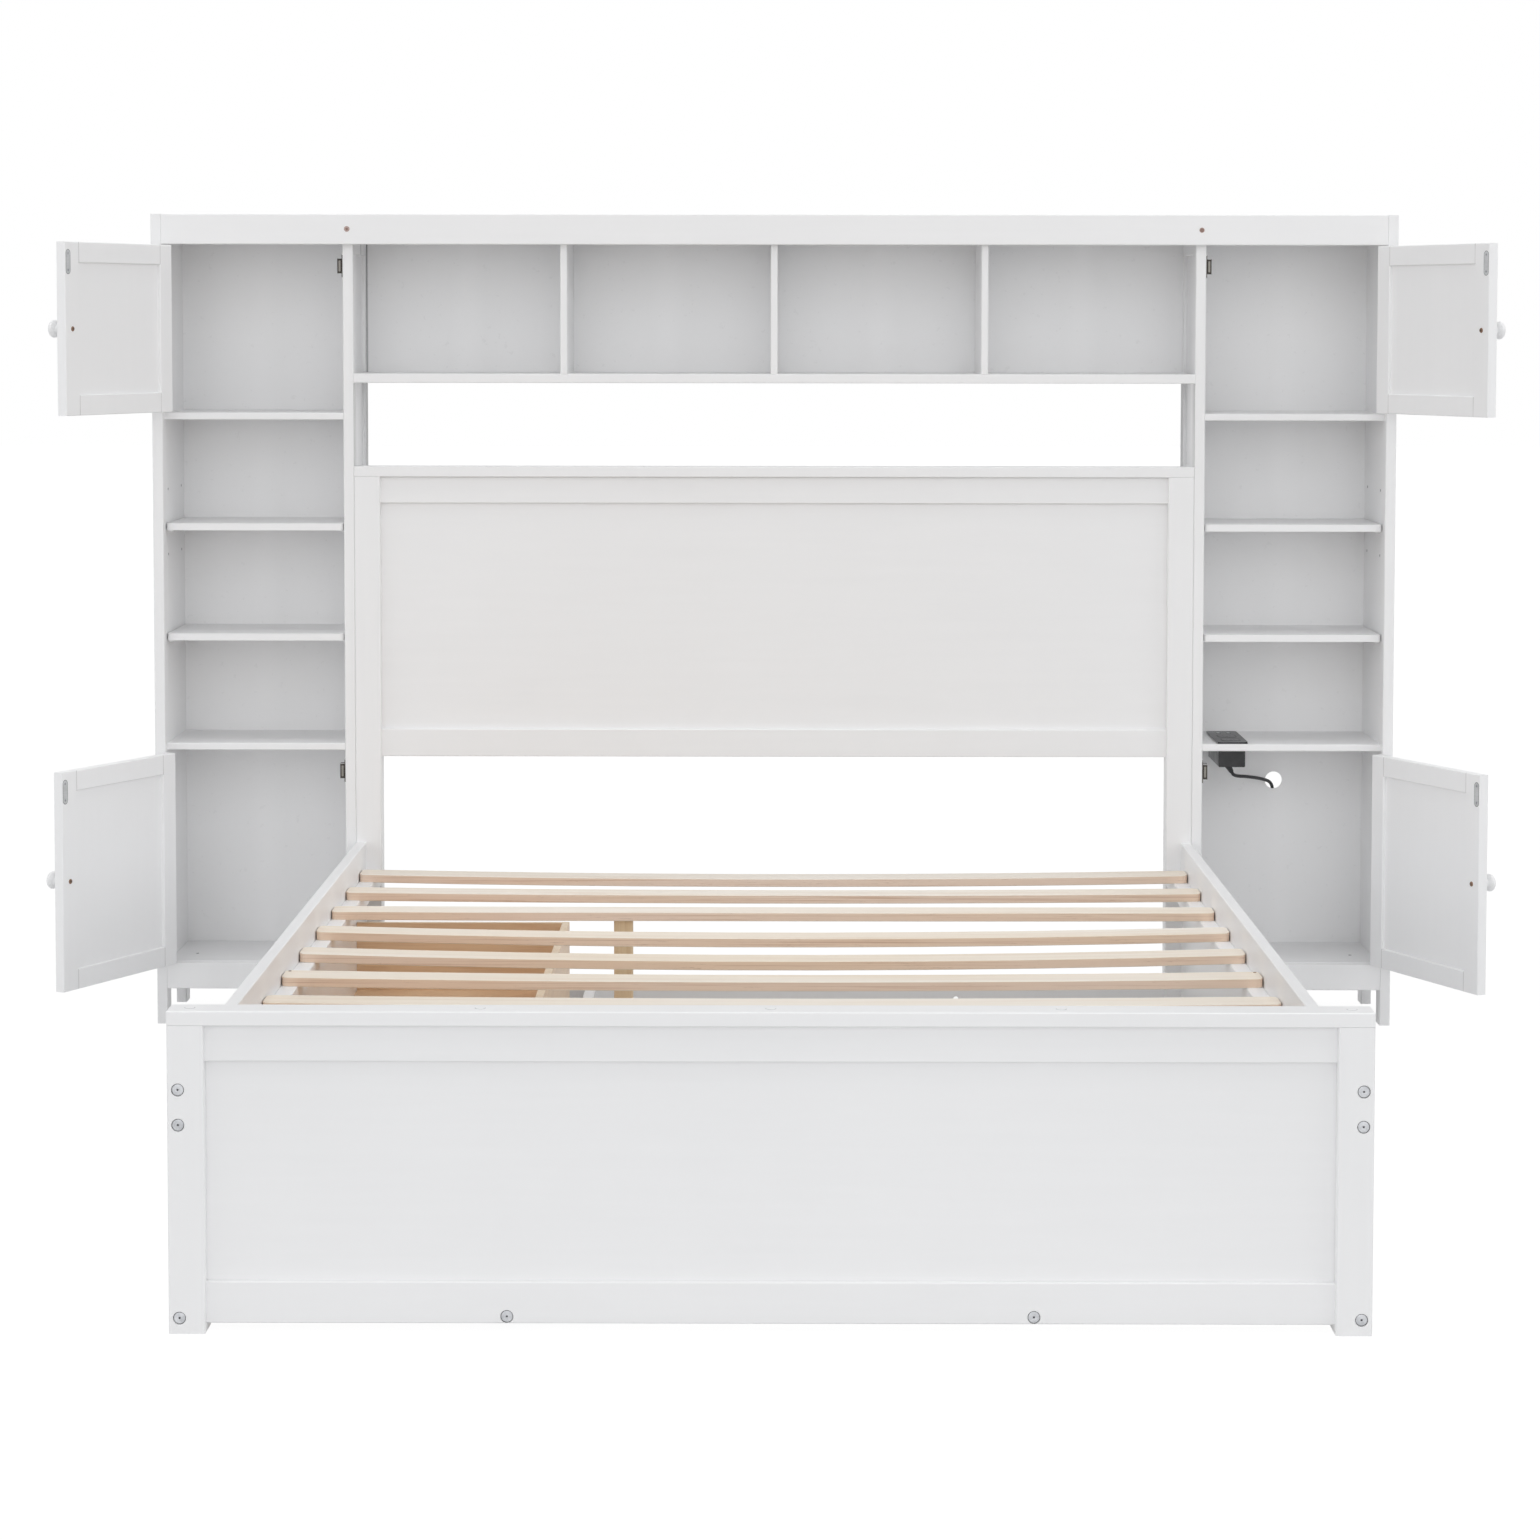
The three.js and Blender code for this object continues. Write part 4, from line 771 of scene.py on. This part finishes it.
# Materials of the CAD nodes
def dress(node, material):
    mesh = NODES[node].data
    mesh.materials.clear()
    mesh.materials.append(material)


ALONG_WORDS = ("rail", "cap", "fascia", "board", "shelf", "bottom", "headboard_panel", "footboard_panel")
DEEP_WORDS = ("side_rail", "side_panel", "bearer", "runner", "drawer_frame", "drawer_head", "drawer_foot")
for node_name in NODES:
    if node_name.endswith("back_panel"):
        dress(node_name, BACK)
    elif any(word in node_name for word in DEEP_WORDS):
        dress(node_name, LACQUER_DEEP)
    elif "post" not in node_name and any(word in node_name for word in ALONG_WORDS):
        dress(node_name, LACQUER_ALONG)
    else:
        dress(node_name, LACQUER_UP)
dress("tower_left_inner_side", LACQUER_INNER)
dress("tower_right_inner_side", LACQUER_INNER)
dress("top_board", LACQUER_TOP)
dress("slat_deck", SLAT)
dress("slat_support_leg", LEG)
dress("drawer_head_box", PLY)
dress("drawer_foot_box", PLY)
dress("power_socket", GLOSS)
dress("power_plug", PLUG)
for word, side in SIDES.items():
    for level, (low, high) in DOOR_SPANS.items():
        joints = {
            "x": [
                side * (DOOR_FREE_X + FREE_STILE - HINGE_AXIS[0]),
                side * (DOOR_HINGE_X - HINGE_STILE - HINGE_AXIS[0]),
            ],
            "z": [(low, low + DOOR_RAIL), (high - DOOR_RAIL, high)],
        }
        axis = (side * HINGE_AXIS[0], HINGE_AXIS[1], 0)
        paint = door_lacquer(f"door_lacquer_{level}_{word}", axis, side * DOOR_OPEN[level, word], joints)
        dress(f"door_{level}_{word}", paint)

# Connector bolts of the footboard
BOLT_SINK = 0.004
POST_BOLT_X = 0.716
RAIL_BOLT_X = 0.32
LOW_BOLT_Z = 0.0195
POST_BOLT_HEIGHTS = (0.299, 0.256, LOW_BOLT_Z)
BOLT_PLACES = [(side * POST_BOLT_X, FOOT_FRONT_Y, z) for side in (-1, 1) for z in POST_BOLT_HEIGHTS]
BOLT_PLACES += [(side * RAIL_BOLT_X, FOOT_RAIL_Y, LOW_BOLT_Z) for side in (-1, 1)]
BOLT_PROFILE = [
    (0, -0.0005), (0.0073, -0.0005), (0.0073, 0.0022), (0.0069, 0.0028), (0.0056, 0.0031), (0.0015, 0.0031),
    (0.0013, 0.0029),
]
HEX_PROFILE = [(0.0013, 0.0029), (0.0012, 0.0012), (0, 0.0012)]


def add_bolt(target, place):
    """Flat connector bolt with a small hex recess, in its counterbore; its edge and recess are dark with
    painted shade
    """
    add_lathe(target, BOLT_PROFILE, place, (0, -1, 0), BOLT_STEPS, [1, 1, 1, 0, 0, 0])
    add_lathe(target, HEX_PROFILE, place, (0, -1, 0), HEX_STEPS, [1, 1])


for number, (x, front, z) in enumerate(BOLT_PLACES, 1):
    bolt = bmesh.new()
    add_bolt(bolt, (x, front + BOLT_SINK, z))
    finish_piece(f"connector_bolt_{number}", bolt, [ZINC, STEEL_RIM_SHADE], "frame")

# Low cover plugs on the footboard cap, each with a grey rim of painted shade for its recess
CAP_PLUG_PITCH = 0.352
CAP_PLUG_SETBACK = 0.0235
CAP_PLUG_PROFILE = [
    (0, -0.0003), (0.0066, -0.0003), (0.0066, 0.0002), (0.0058, 0.0004), (0.0052, 0.0008), (0, 0.0010),
]
cap_low, cap_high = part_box("footboard_cap")
for number, step in enumerate((-2, -1, 0, 1, 2), 1):
    plug = bmesh.new()
    plug_place = (step * CAP_PLUG_PITCH, cap_low.y + CAP_PLUG_SETBACK, cap_high.z)
    add_lathe(plug, CAP_PLUG_PROFILE, plug_place, (0, 0, 1), BOLT_STEPS, [1, 1, 1, 0, 0])
    finish_piece(f"cap_plug_{number}", plug, [LACQUER_ALONG, HOLE_RIM_SHADE], "frame")

# Open holes, drawn flat with painted shade for their depth: two in the fascia, the spare ones for shelf
# pins, and one in each tower's floor
HOLE_SINK = 0.0002
HOLE_RIM_RISE = 0.00022
HOLE_CORE_RISE = 0.00026
HOLE_FLOOR_RISE = (0.0001, 0.00008)
HOLE_FLOOR_SHARE = 0.6
FASCIA_HOLES = (
    ("fascia_screw_hole_1", (-0.7373, TOWER_FRONT_Y, 1.3844), 0.0049, 0.45),
    ("fascia_screw_hole_2", (0.7371, TOWER_FRONT_Y, 1.3837), 0.0045, 0.75),
)
PIN_HOLE_ROWS = (0.9015, 1.0405)
PIN_HOLE_HEIGHTS = (0.819, 0.933)
PIN_HOLE_RADIUS = 0.0027
PIN_HOLE_SHARE = 0.8
FLOOR_HOLE = (1.0195, 0.942)
FLOOR_HOLE_RADIUS = 0.0031
FLOOR_HOLE_SHARE = 0.85


def add_hole(target, place, direction, radius, core):
    """Small open hole drawn flat: a thin rim, and a core of the given share of the radius in the second
    material, which paints the hole's shade
    """
    profile = [
        (0, -HOLE_SINK), (radius, -HOLE_SINK), (radius, HOLE_RIM_RISE), (radius * core, HOLE_CORE_RISE),
        (radius * core * HOLE_FLOOR_SHARE, HOLE_FLOOR_RISE[0]), (0, HOLE_FLOOR_RISE[1]),
    ]
    add_lathe(target, profile, place, direction, SMALL_STEPS, [0, 0, 0, 1, 1])


for name, place, radius, core in FASCIA_HOLES:
    hole = bmesh.new()
    add_hole(hole, place, (0, -1, 0), radius, core)
    finish_piece(name, hole, [PINK, HOLE], "frame")
for word, side in SIDES.items():
    for face_name, face_x, inward in (("outer", TOWER_INNER_X, -side), ("inner", INNER_BOARD_X, side)):
        holes = bmesh.new()
        for y in PIN_HOLE_ROWS:
            for z in PIN_HOLE_HEIGHTS:
                add_hole(holes, (side * face_x, y, z), (inward, 0, 0), PIN_HOLE_RADIUS, PIN_HOLE_SHARE)
        finish_piece(f"pin_holes_{word}_{face_name}", holes, [HOLE_RIM_SHADE, PAINTED_HOLE_SHADE], "frame")
    hole = bmesh.new()
    floor_place = (side * FLOOR_HOLE[0], FLOOR_HOLE[1], TOWER_FLOOR_Z)
    add_hole(hole, floor_place, (0, 0, 1), FLOOR_HOLE_RADIUS, FLOOR_HOLE_SHARE)
    finish_piece(f"floor_hole_{word}", hole, [HOLE_RIM_SHADE, PAINTED_HOLE_SHADE], "frame")

# Screws that hold one slat to its cleats
SLAT_SCREW = (0.7035, -0.1790, 0.2794)
SLAT_SCREW_RADIUS = 0.0024
SLAT_SCREW_HEAD = 0.0005
for number, side in enumerate((-1, 1), 1):
    screw = bmesh.new()
    screw_place = (side * SLAT_SCREW[0], SLAT_SCREW[1], SLAT_SCREW[2])
    add_cross_screw(screw, screw_place, (0, 0, 1), SLAT_SCREW_RADIUS, SLAT_SCREW_HEAD)
    finish_piece(f"slat_screw_{number}", screw, [SCREW, BRONZE], "frame")

# Fittings of the doors, drawn on the shut door and turned with it, and their partners on the towers
KNOB_SCREW_RADIUS = 0.0042
KNOB_SCREW_HEAD = 0.0012
STRIKE_FROM_EDGE = 0.0085
STRIKE_FROM_TOP = 0.033
STRIKE_SIZE = (0.0112, 0.0392)
STRIKE_RIM = 0.0018
STRIKE_RIM_RISE = (-0.0002, 0.00012)
STRIKE_RISE = (0.0001, 0.00018)
STRIKE_SCREW_Z = 0.0140
STRIKE_SCREW_RADIUS = 0.0030
STRIKE_SCREW_HEAD = 0.00022
HINGE_FROM_END = 0.045
HINGE_LENGTH = 0.05
LEAF_SIZE = (0.0158, 0.0498)
LEAF_CORNER = 0.002
LEAF_RISE = (0.0009, 0.00102)
LEAF_SETBACK = 0.008
LEAF_SCREW_SETBACK = 0.0095
LEAF_SCREW_Z = 0.016
LEAF_SCREW_RISE = 0.00092
LEAF_SCREW_RADIUS = 0.0026
LEAF_SCREW_HEAD = 0.00018
KNUCKLE_RADIUS = 0.0037
KNUCKLE_ROUND = 0.0003
KNUCKLE_DISH = 0.00002
KNUCKLE_PLAY = 0.0004
PIN_RADIUS = 0.0019
PIN_HEAD = [(0.0022, 0.0001), (0.0021, 0.0008), (0.0012, 0.0013), (0, 0.0014)]
CATCH_HEIGHTS = {"upper": 1.321, "lower": 0.442}
CATCH_Y = 0.879
CATCH_PLATE = (0.0144, 0.0404)
CATCH_PLATE_CORNER = 0.0022
CATCH_PLATE_RISE = 0.0017
CATCH_BODY = (0.0144, 0.0274)
CATCH_BODY_CORNER = 0.0016
CATCH_BODY_RISE = 0.0092
CATCH_BEVEL = 0.0004
CATCH_SCREW_Z = 0.0168
CATCH_SCREW_RADIUS = 0.0022
CATCH_SCREW_HEAD = 0.0005
MAGNET_SIZE = (0.0034, 0.0190)
MAGNET_CORNER = 0.0008
MAGNET_RISE = (0.0002, 0.0008)
MAGNET_FROM_SIDE = 0.0052
MAGNET_FRONT_Y = 0.8720


def make_knob_screw(level, word):
    low, high = DOOR_SPANS[level]
    place = (SIDES[word] * (DOOR_FREE_X + FREE_STILE / 2), DOOR_BACK_Y, (low + high) / 2)
    screw = bmesh.new()
    add_cross_screw(screw, place, (0, 1, 0), KNOB_SCREW_RADIUS, KNOB_SCREW_HEAD)
    finish_piece(f"knob_screw_{level}_{word}", screw, [SCREW, BRONZE], f"{level}_{word}_door",
                 turn=door_turn(level, word))


def make_strike_plate(level, word):
    """Steel plate on the door's back that the magnet holds, let in, with a dark rim of painted shade round
    it
    """
    x = SIDES[word] * (DOOR_FREE_X + STRIKE_FROM_EDGE)
    z = DOOR_SPANS[level][1] - STRIKE_FROM_TOP
    place = (x, DOOR_BACK_Y, z)
    width, height = STRIKE_SIZE
    rim_width = width + STRIKE_RIM
    rim = rounded(rim_width, height + STRIKE_RIM, rim_width / 2, steps=6)
    plate = rounded(width, height, width / 2, steps=6)
    strike = bmesh.new()
    add_prism(strike, rim, *STRIKE_RIM_RISE, place, (0, 1, 0), material=2)
    add_prism(strike, plate, *STRIKE_RISE, place, (0, 1, 0))
    for sign in (-1, 1):
        screw_place = (x, DOOR_BACK_Y, z + sign * STRIKE_SCREW_Z)
        add_cross_screw(strike, screw_place, (0, 1, 0), STRIKE_SCREW_RADIUS, STRIKE_SCREW_HEAD, 1, 2)
    finish_piece(f"strike_plate_{level}_{word}", strike, [STRIKE, ZINC, STEEL_RIM_SHADE], f"{level}_{word}_door",
                 turn=door_turn(level, word))


def add_leaf(target, face_x, outward, z):
    """Thin hinge leaf with three screws, on a face that looks along X"""
    leaf = rounded(*LEAF_SIZE, LEAF_CORNER, steps=3)
    add_prism(target, leaf, *LEAF_RISE, (face_x, TOWER_FRONT_Y + LEAF_SETBACK, z), (outward, 0, 0))
    for step in (-1, 0, 1):
        place = (
            face_x + outward * LEAF_SCREW_RISE,
            TOWER_FRONT_Y + LEAF_SCREW_SETBACK,
            z + step * LEAF_SCREW_Z,
        )
        add_cross_screw(target, place, (outward, 0, 0), LEAF_SCREW_RADIUS, LEAF_SCREW_HEAD, 1, 0)


def knuckle_profile(low, high):
    """Hollow knuckle from the pin's hole at its lower end to the round edge of its upper end"""
    return [
        (PIN_RADIUS, low + KNUCKLE_DISH),
        (KNUCKLE_RADIUS - KNUCKLE_ROUND, low),
        (KNUCKLE_RADIUS, low + KNUCKLE_ROUND),
        (KNUCKLE_RADIUS, high - KNUCKLE_ROUND),
        (KNUCKLE_RADIUS - KNUCKLE_ROUND, high),
    ]


def make_hinge(level, word, number, z):
    """Moving leaf with the middle knuckle, then the fixed leaf with the outer knuckles and the pin's ends"""
    side = SIDES[word]
    axis_place = (side * HINGE_AXIS[0], HINGE_AXIS[1], z)
    half = HINGE_LENGTH / 6 - KNUCKLE_PLAY
    leaf = bmesh.new()
    add_leaf(leaf, side * DOOR_HINGE_X, side, z)
    middle = knuckle_profile(-half, half) + [(PIN_RADIUS, half - KNUCKLE_DISH)]
    add_lathe(leaf, middle, axis_place, (0, 0, 1))
    finish_piece(f"hinge_leaf_{level}_{word}_{number}", leaf, [BRONZE, SCREW], f"{level}_{word}_door",
                 turn=door_turn(level, word))
    fixed = bmesh.new()
    add_leaf(fixed, side * TOWER_INNER_X, -side, z)
    end = HINGE_LENGTH / 2
    outer = knuckle_profile(HINGE_LENGTH / 6, end) + [(radius, end + rise) for radius, rise in PIN_HEAD]
    for sign in (-1, 1):
        add_lathe(fixed, [(radius, sign * rise) for radius, rise in outer], axis_place, (0, 0, 1))
    finish_piece(f"hinge_fixed_{level}_{word}_{number}", fixed, [BRONZE, SCREW], "frame")


def make_catch(level, word):
    """Magnetic catch over its CAD block: plate with two screws, body with the magnet's face"""
    side = SIDES[word]
    z = CATCH_HEIGHTS[level]
    place = (side * INNER_BOARD_X, CATCH_Y, z)
    plate = rounded(*CATCH_PLATE, CATCH_PLATE_CORNER, steps=4)
    shell = rounded(*CATCH_BODY, CATCH_BODY_CORNER, steps=3)
    magnet = rounded(*MAGNET_SIZE, MAGNET_CORNER, steps=2)
    magnet_place = (side * (INNER_BOARD_X + MAGNET_FROM_SIDE), MAGNET_FRONT_Y, z)
    catch = bmesh.new()
    add_prism(catch, plate, 0.0, CATCH_PLATE_RISE, place, (side, 0, 0))
    add_prism(catch, shell, CATCH_PLATE_RISE, CATCH_BODY_RISE, place, (side, 0, 0))
    add_prism(catch, magnet, *MAGNET_RISE, magnet_place, (0, -1, 0), material=2)
    for sign in (-1, 1):
        screw_place = (side * (INNER_BOARD_X + CATCH_PLATE_RISE), CATCH_Y, z + sign * CATCH_SCREW_Z)
        add_cross_screw(catch, screw_place, (side, 0, 0), CATCH_SCREW_RADIUS, CATCH_SCREW_HEAD, 1, 0)
    finish_piece(f"magnetic_catch_{level}_{word}", catch, [BRONZE, SCREW, MAGNET], "frame",
                 bevel=CATCH_BEVEL)


for word in SIDES:
    for level, (low, high) in DOOR_SPANS.items():
        make_knob_screw(level, word)
        make_strike_plate(level, word)
        make_hinge(level, word, 1, low + HINGE_FROM_END)
        make_hinge(level, word, 2, high - HINGE_FROM_END)
        make_catch(level, word)

# Face of the socket: plate, two outlets with their slots, and two charging ports
socket_low, socket_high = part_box("power_socket")
FACE_CENTRE = ((socket_low.x + socket_high.x) / 2, (socket_low.y + socket_high.y) / 2)
FACE_TOP = 0.494
FACE_SIZE = (0.0532, 0.1702)
FACE_CORNER = 0.006
FACE_SINK = 0.0005
FACE_RISE = 0.00035
FACE_BEVEL = 0.0002
OUTLET_STEPS = (-0.052, 0.004)
OUTLET_SIZE = (0.034, 0.036)
OUTLET_CORNER = 0.008
OUTLET_RISE = 0.0005
INSERT_SIZE = (0.029, 0.031)
INSERT_CORNER = 0.007
INSERT_RISE = (0.0004, 0.00055)
SLOT_X = 0.0062
SLOT_Y = 0.004
SLOT_WIDTH = 0.0022
SLOT_LENGTHS = (0.0080, 0.0064)
SLOT_CORNER = 0.0004
SLOT_RISE = (0.00045, 0.0006)
EARTH_Y = 0.0080
EARTH_SIZE = 0.0060
EARTH_CORNER = 0.0028
PORT_X = 0.009
PORT_Y = 0.052
PORT_SIZE = (0.0078, 0.0150)
PORT_CORNER = 0.0008
PORT_RISE = 0.0004
TONGUE_SIZE = (0.0050, 0.0122)
TONGUE_CORNER = 0.0004
TONGUE_RISE = (0.00035, 0.0005)


def add_on_face(target, outline, low, high, x, y, material):
    """A flat shape on the socket's plate, at a place measured from the plate's centre"""
    place = (FACE_CENTRE[0] + x, FACE_CENTRE[1] + y, FACE_TOP + FACE_RISE)
    add_prism(target, outline, low, high, place, (0, 0, 1), (0, 1, 0), material)


def make_socket_face():
    """Plate with two outlets, each a ring, an insert and three slots, and two charging ports; slots and
    ports are raised black shapes of painted shade
    """
    plate = rounded(*FACE_SIZE, FACE_CORNER, steps=5)
    outlet = rounded(*OUTLET_SIZE, OUTLET_CORNER, steps=5)
    insert = rounded(*INSERT_SIZE, INSERT_CORNER, steps=5)
    earth = rounded(EARTH_SIZE, EARTH_SIZE, EARTH_CORNER, steps=4)
    port = rounded(*PORT_SIZE, PORT_CORNER, steps=2)
    tongue = rounded(*TONGUE_SIZE, TONGUE_CORNER, steps=2)
    face = bmesh.new()
    add_prism(face, plate, -FACE_SINK, FACE_RISE, (*FACE_CENTRE, FACE_TOP), (0, 0, 1), (0, 1, 0))
    for y in OUTLET_STEPS:
        add_on_face(face, outlet, 0.0, OUTLET_RISE, 0, y, 1)
        add_on_face(face, insert, *INSERT_RISE, 0, y, 0)
        for sign, length in zip((-1, 1), SLOT_LENGTHS):
            slot = rounded(SLOT_WIDTH, length, SLOT_CORNER, steps=2)
            add_on_face(face, slot, *SLOT_RISE, sign * SLOT_X, y + SLOT_Y, 1)
        add_on_face(face, earth, *SLOT_RISE, 0, y - EARTH_Y, 1)
    for sign in (-1, 1):
        add_on_face(face, port, 0.0, PORT_RISE, sign * PORT_X, PORT_Y, 1)
        add_on_face(face, tongue, *TONGUE_RISE, sign * PORT_X, PORT_Y, 2)
    finish_piece("socket_face", face, [PLATE, BLACK, STRIKE], "frame", bevel=FACE_BEVEL)


make_socket_face()

# Light and floor
ROOM_COLOR = (0.97, 0.985, 1.0, 1)
ROOM_STRENGTH = 0.32
TOP_STRENGTH = 1.15
FRONT_STRENGTH = 0.9
LEFT_STRENGTH = 0.76
RIGHT_STRENGTH = 0.92
SUN_SPREAD = math.radians(60)
SUN_TARGET = (0, 0, 1.0)
FLOOR_HALF = 30
FLOOR_GREY = (0.68, 0.68, 0.68, 1)
FLOOR_ROUGHNESS = 0.9
FLOOR_GLOW = 1.12
FLOOR_GLOW_SHARE = 0.85
PLAIN_WHITE = (1, 1, 1, 1)


def shown_rays(tree):
    """1 for camera, glossy and transmission rays"""
    path = tree.nodes.new("ShaderNodeLightPath")
    total = path.outputs["Is Camera Ray"]
    for name in ("Is Glossy Ray", "Is Transmission Ray"):
        node = tree.nodes.new("ShaderNodeMath")
        node.operation = "MAXIMUM"
        tree.links.new(total, node.inputs[0])
        tree.links.new(path.outputs[name], node.inputs[1])
        total = node.outputs[0]
    return total


def make_room():
    """Soft light from all sides, seen as plain white"""
    world = bpy.data.worlds.new("studio")
    bpy.context.scene.world = world
    world.use_nodes = True
    tree = world.node_tree
    background = tree.nodes["Background"]
    background.inputs["Color"].default_value = ROOM_COLOR
    background.inputs["Strength"].default_value = ROOM_STRENGTH
    seen = tree.nodes.new("ShaderNodeBackground")
    seen.inputs["Color"].default_value = PLAIN_WHITE
    seen.inputs["Strength"].default_value = 1.0
    blend = tree.nodes.new("ShaderNodeMixShader")
    tree.links.new(shown_rays(tree), blend.inputs[0])
    tree.links.new(background.outputs[0], blend.inputs[1])
    tree.links.new(seen.outputs[0], blend.inputs[2])
    tree.links.new(blend.outputs[0], tree.nodes["World Output"].inputs["Surface"])


def add_sun(name, place, strength):
    data = bpy.data.lights.new(name, "SUN")
    data.energy = strength
    data.angle = SUN_SPREAD
    light = bpy.data.objects.new(name, data)
    bpy.context.scene.collection.objects.link(light)
    light.location = place
    light.rotation_euler = (Vector(SUN_TARGET) - Vector(place)).to_track_quat("-Z", "Y").to_euler()


def floor_paper():
    """White paper that keeps the object's shadow faintly"""
    paper = bpy.data.materials.new("floor_paper")
    paper.use_nodes = True
    tree = paper.node_tree
    plain = tree.nodes["Principled BSDF"]
    plain.inputs["Base Color"].default_value = FLOOR_GREY
    plain.inputs["Roughness"].default_value = FLOOR_ROUGHNESS
    plain.inputs["Specular IOR Level"].default_value = 0.0
    glow = tree.nodes.new("ShaderNodeEmission")
    glow.inputs["Color"].default_value = PLAIN_WHITE
    glow.inputs["Strength"].default_value = FLOOR_GLOW
    share = tree.nodes.new("ShaderNodeMath")
    share.operation = "MULTIPLY"
    share.inputs[1].default_value = FLOOR_GLOW_SHARE
    cover = tree.nodes.new("ShaderNodeMixShader")
    tree.links.new(shown_rays(tree), share.inputs[0])
    tree.links.new(share.outputs[0], cover.inputs[0])
    tree.links.new(plain.outputs[0], cover.inputs[1])
    tree.links.new(glow.outputs[0], cover.inputs[2])
    tree.links.new(cover.outputs[0], tree.nodes["Material Output"].inputs["Surface"])
    return paper


make_room()
add_sun("top_light", (0.0, -0.4, 9.0), TOP_STRENGTH)
add_sun("front_light", (-0.3, -9.0, 2.2), FRONT_STRENGTH)
add_sun("left_light", (-8.0, -3.6, 2.6), LEFT_STRENGTH)
add_sun("right_light", (8.0, -3.6, 2.6), RIGHT_STRENGTH)

floor_mesh = bmesh.new()
bmesh.ops.create_grid(floor_mesh, x_segments=1, y_segments=1, size=FLOOR_HALF)
floor_data = bpy.data.meshes.new("floor")
floor_mesh.to_mesh(floor_data)
floor_mesh.free()
floor = bpy.data.objects.new("floor", floor_data)
bpy.context.scene.collection.objects.link(floor)
floor_data.materials.append(floor_paper())

bpy.context.scene.view_settings.view_transform = "Standard"
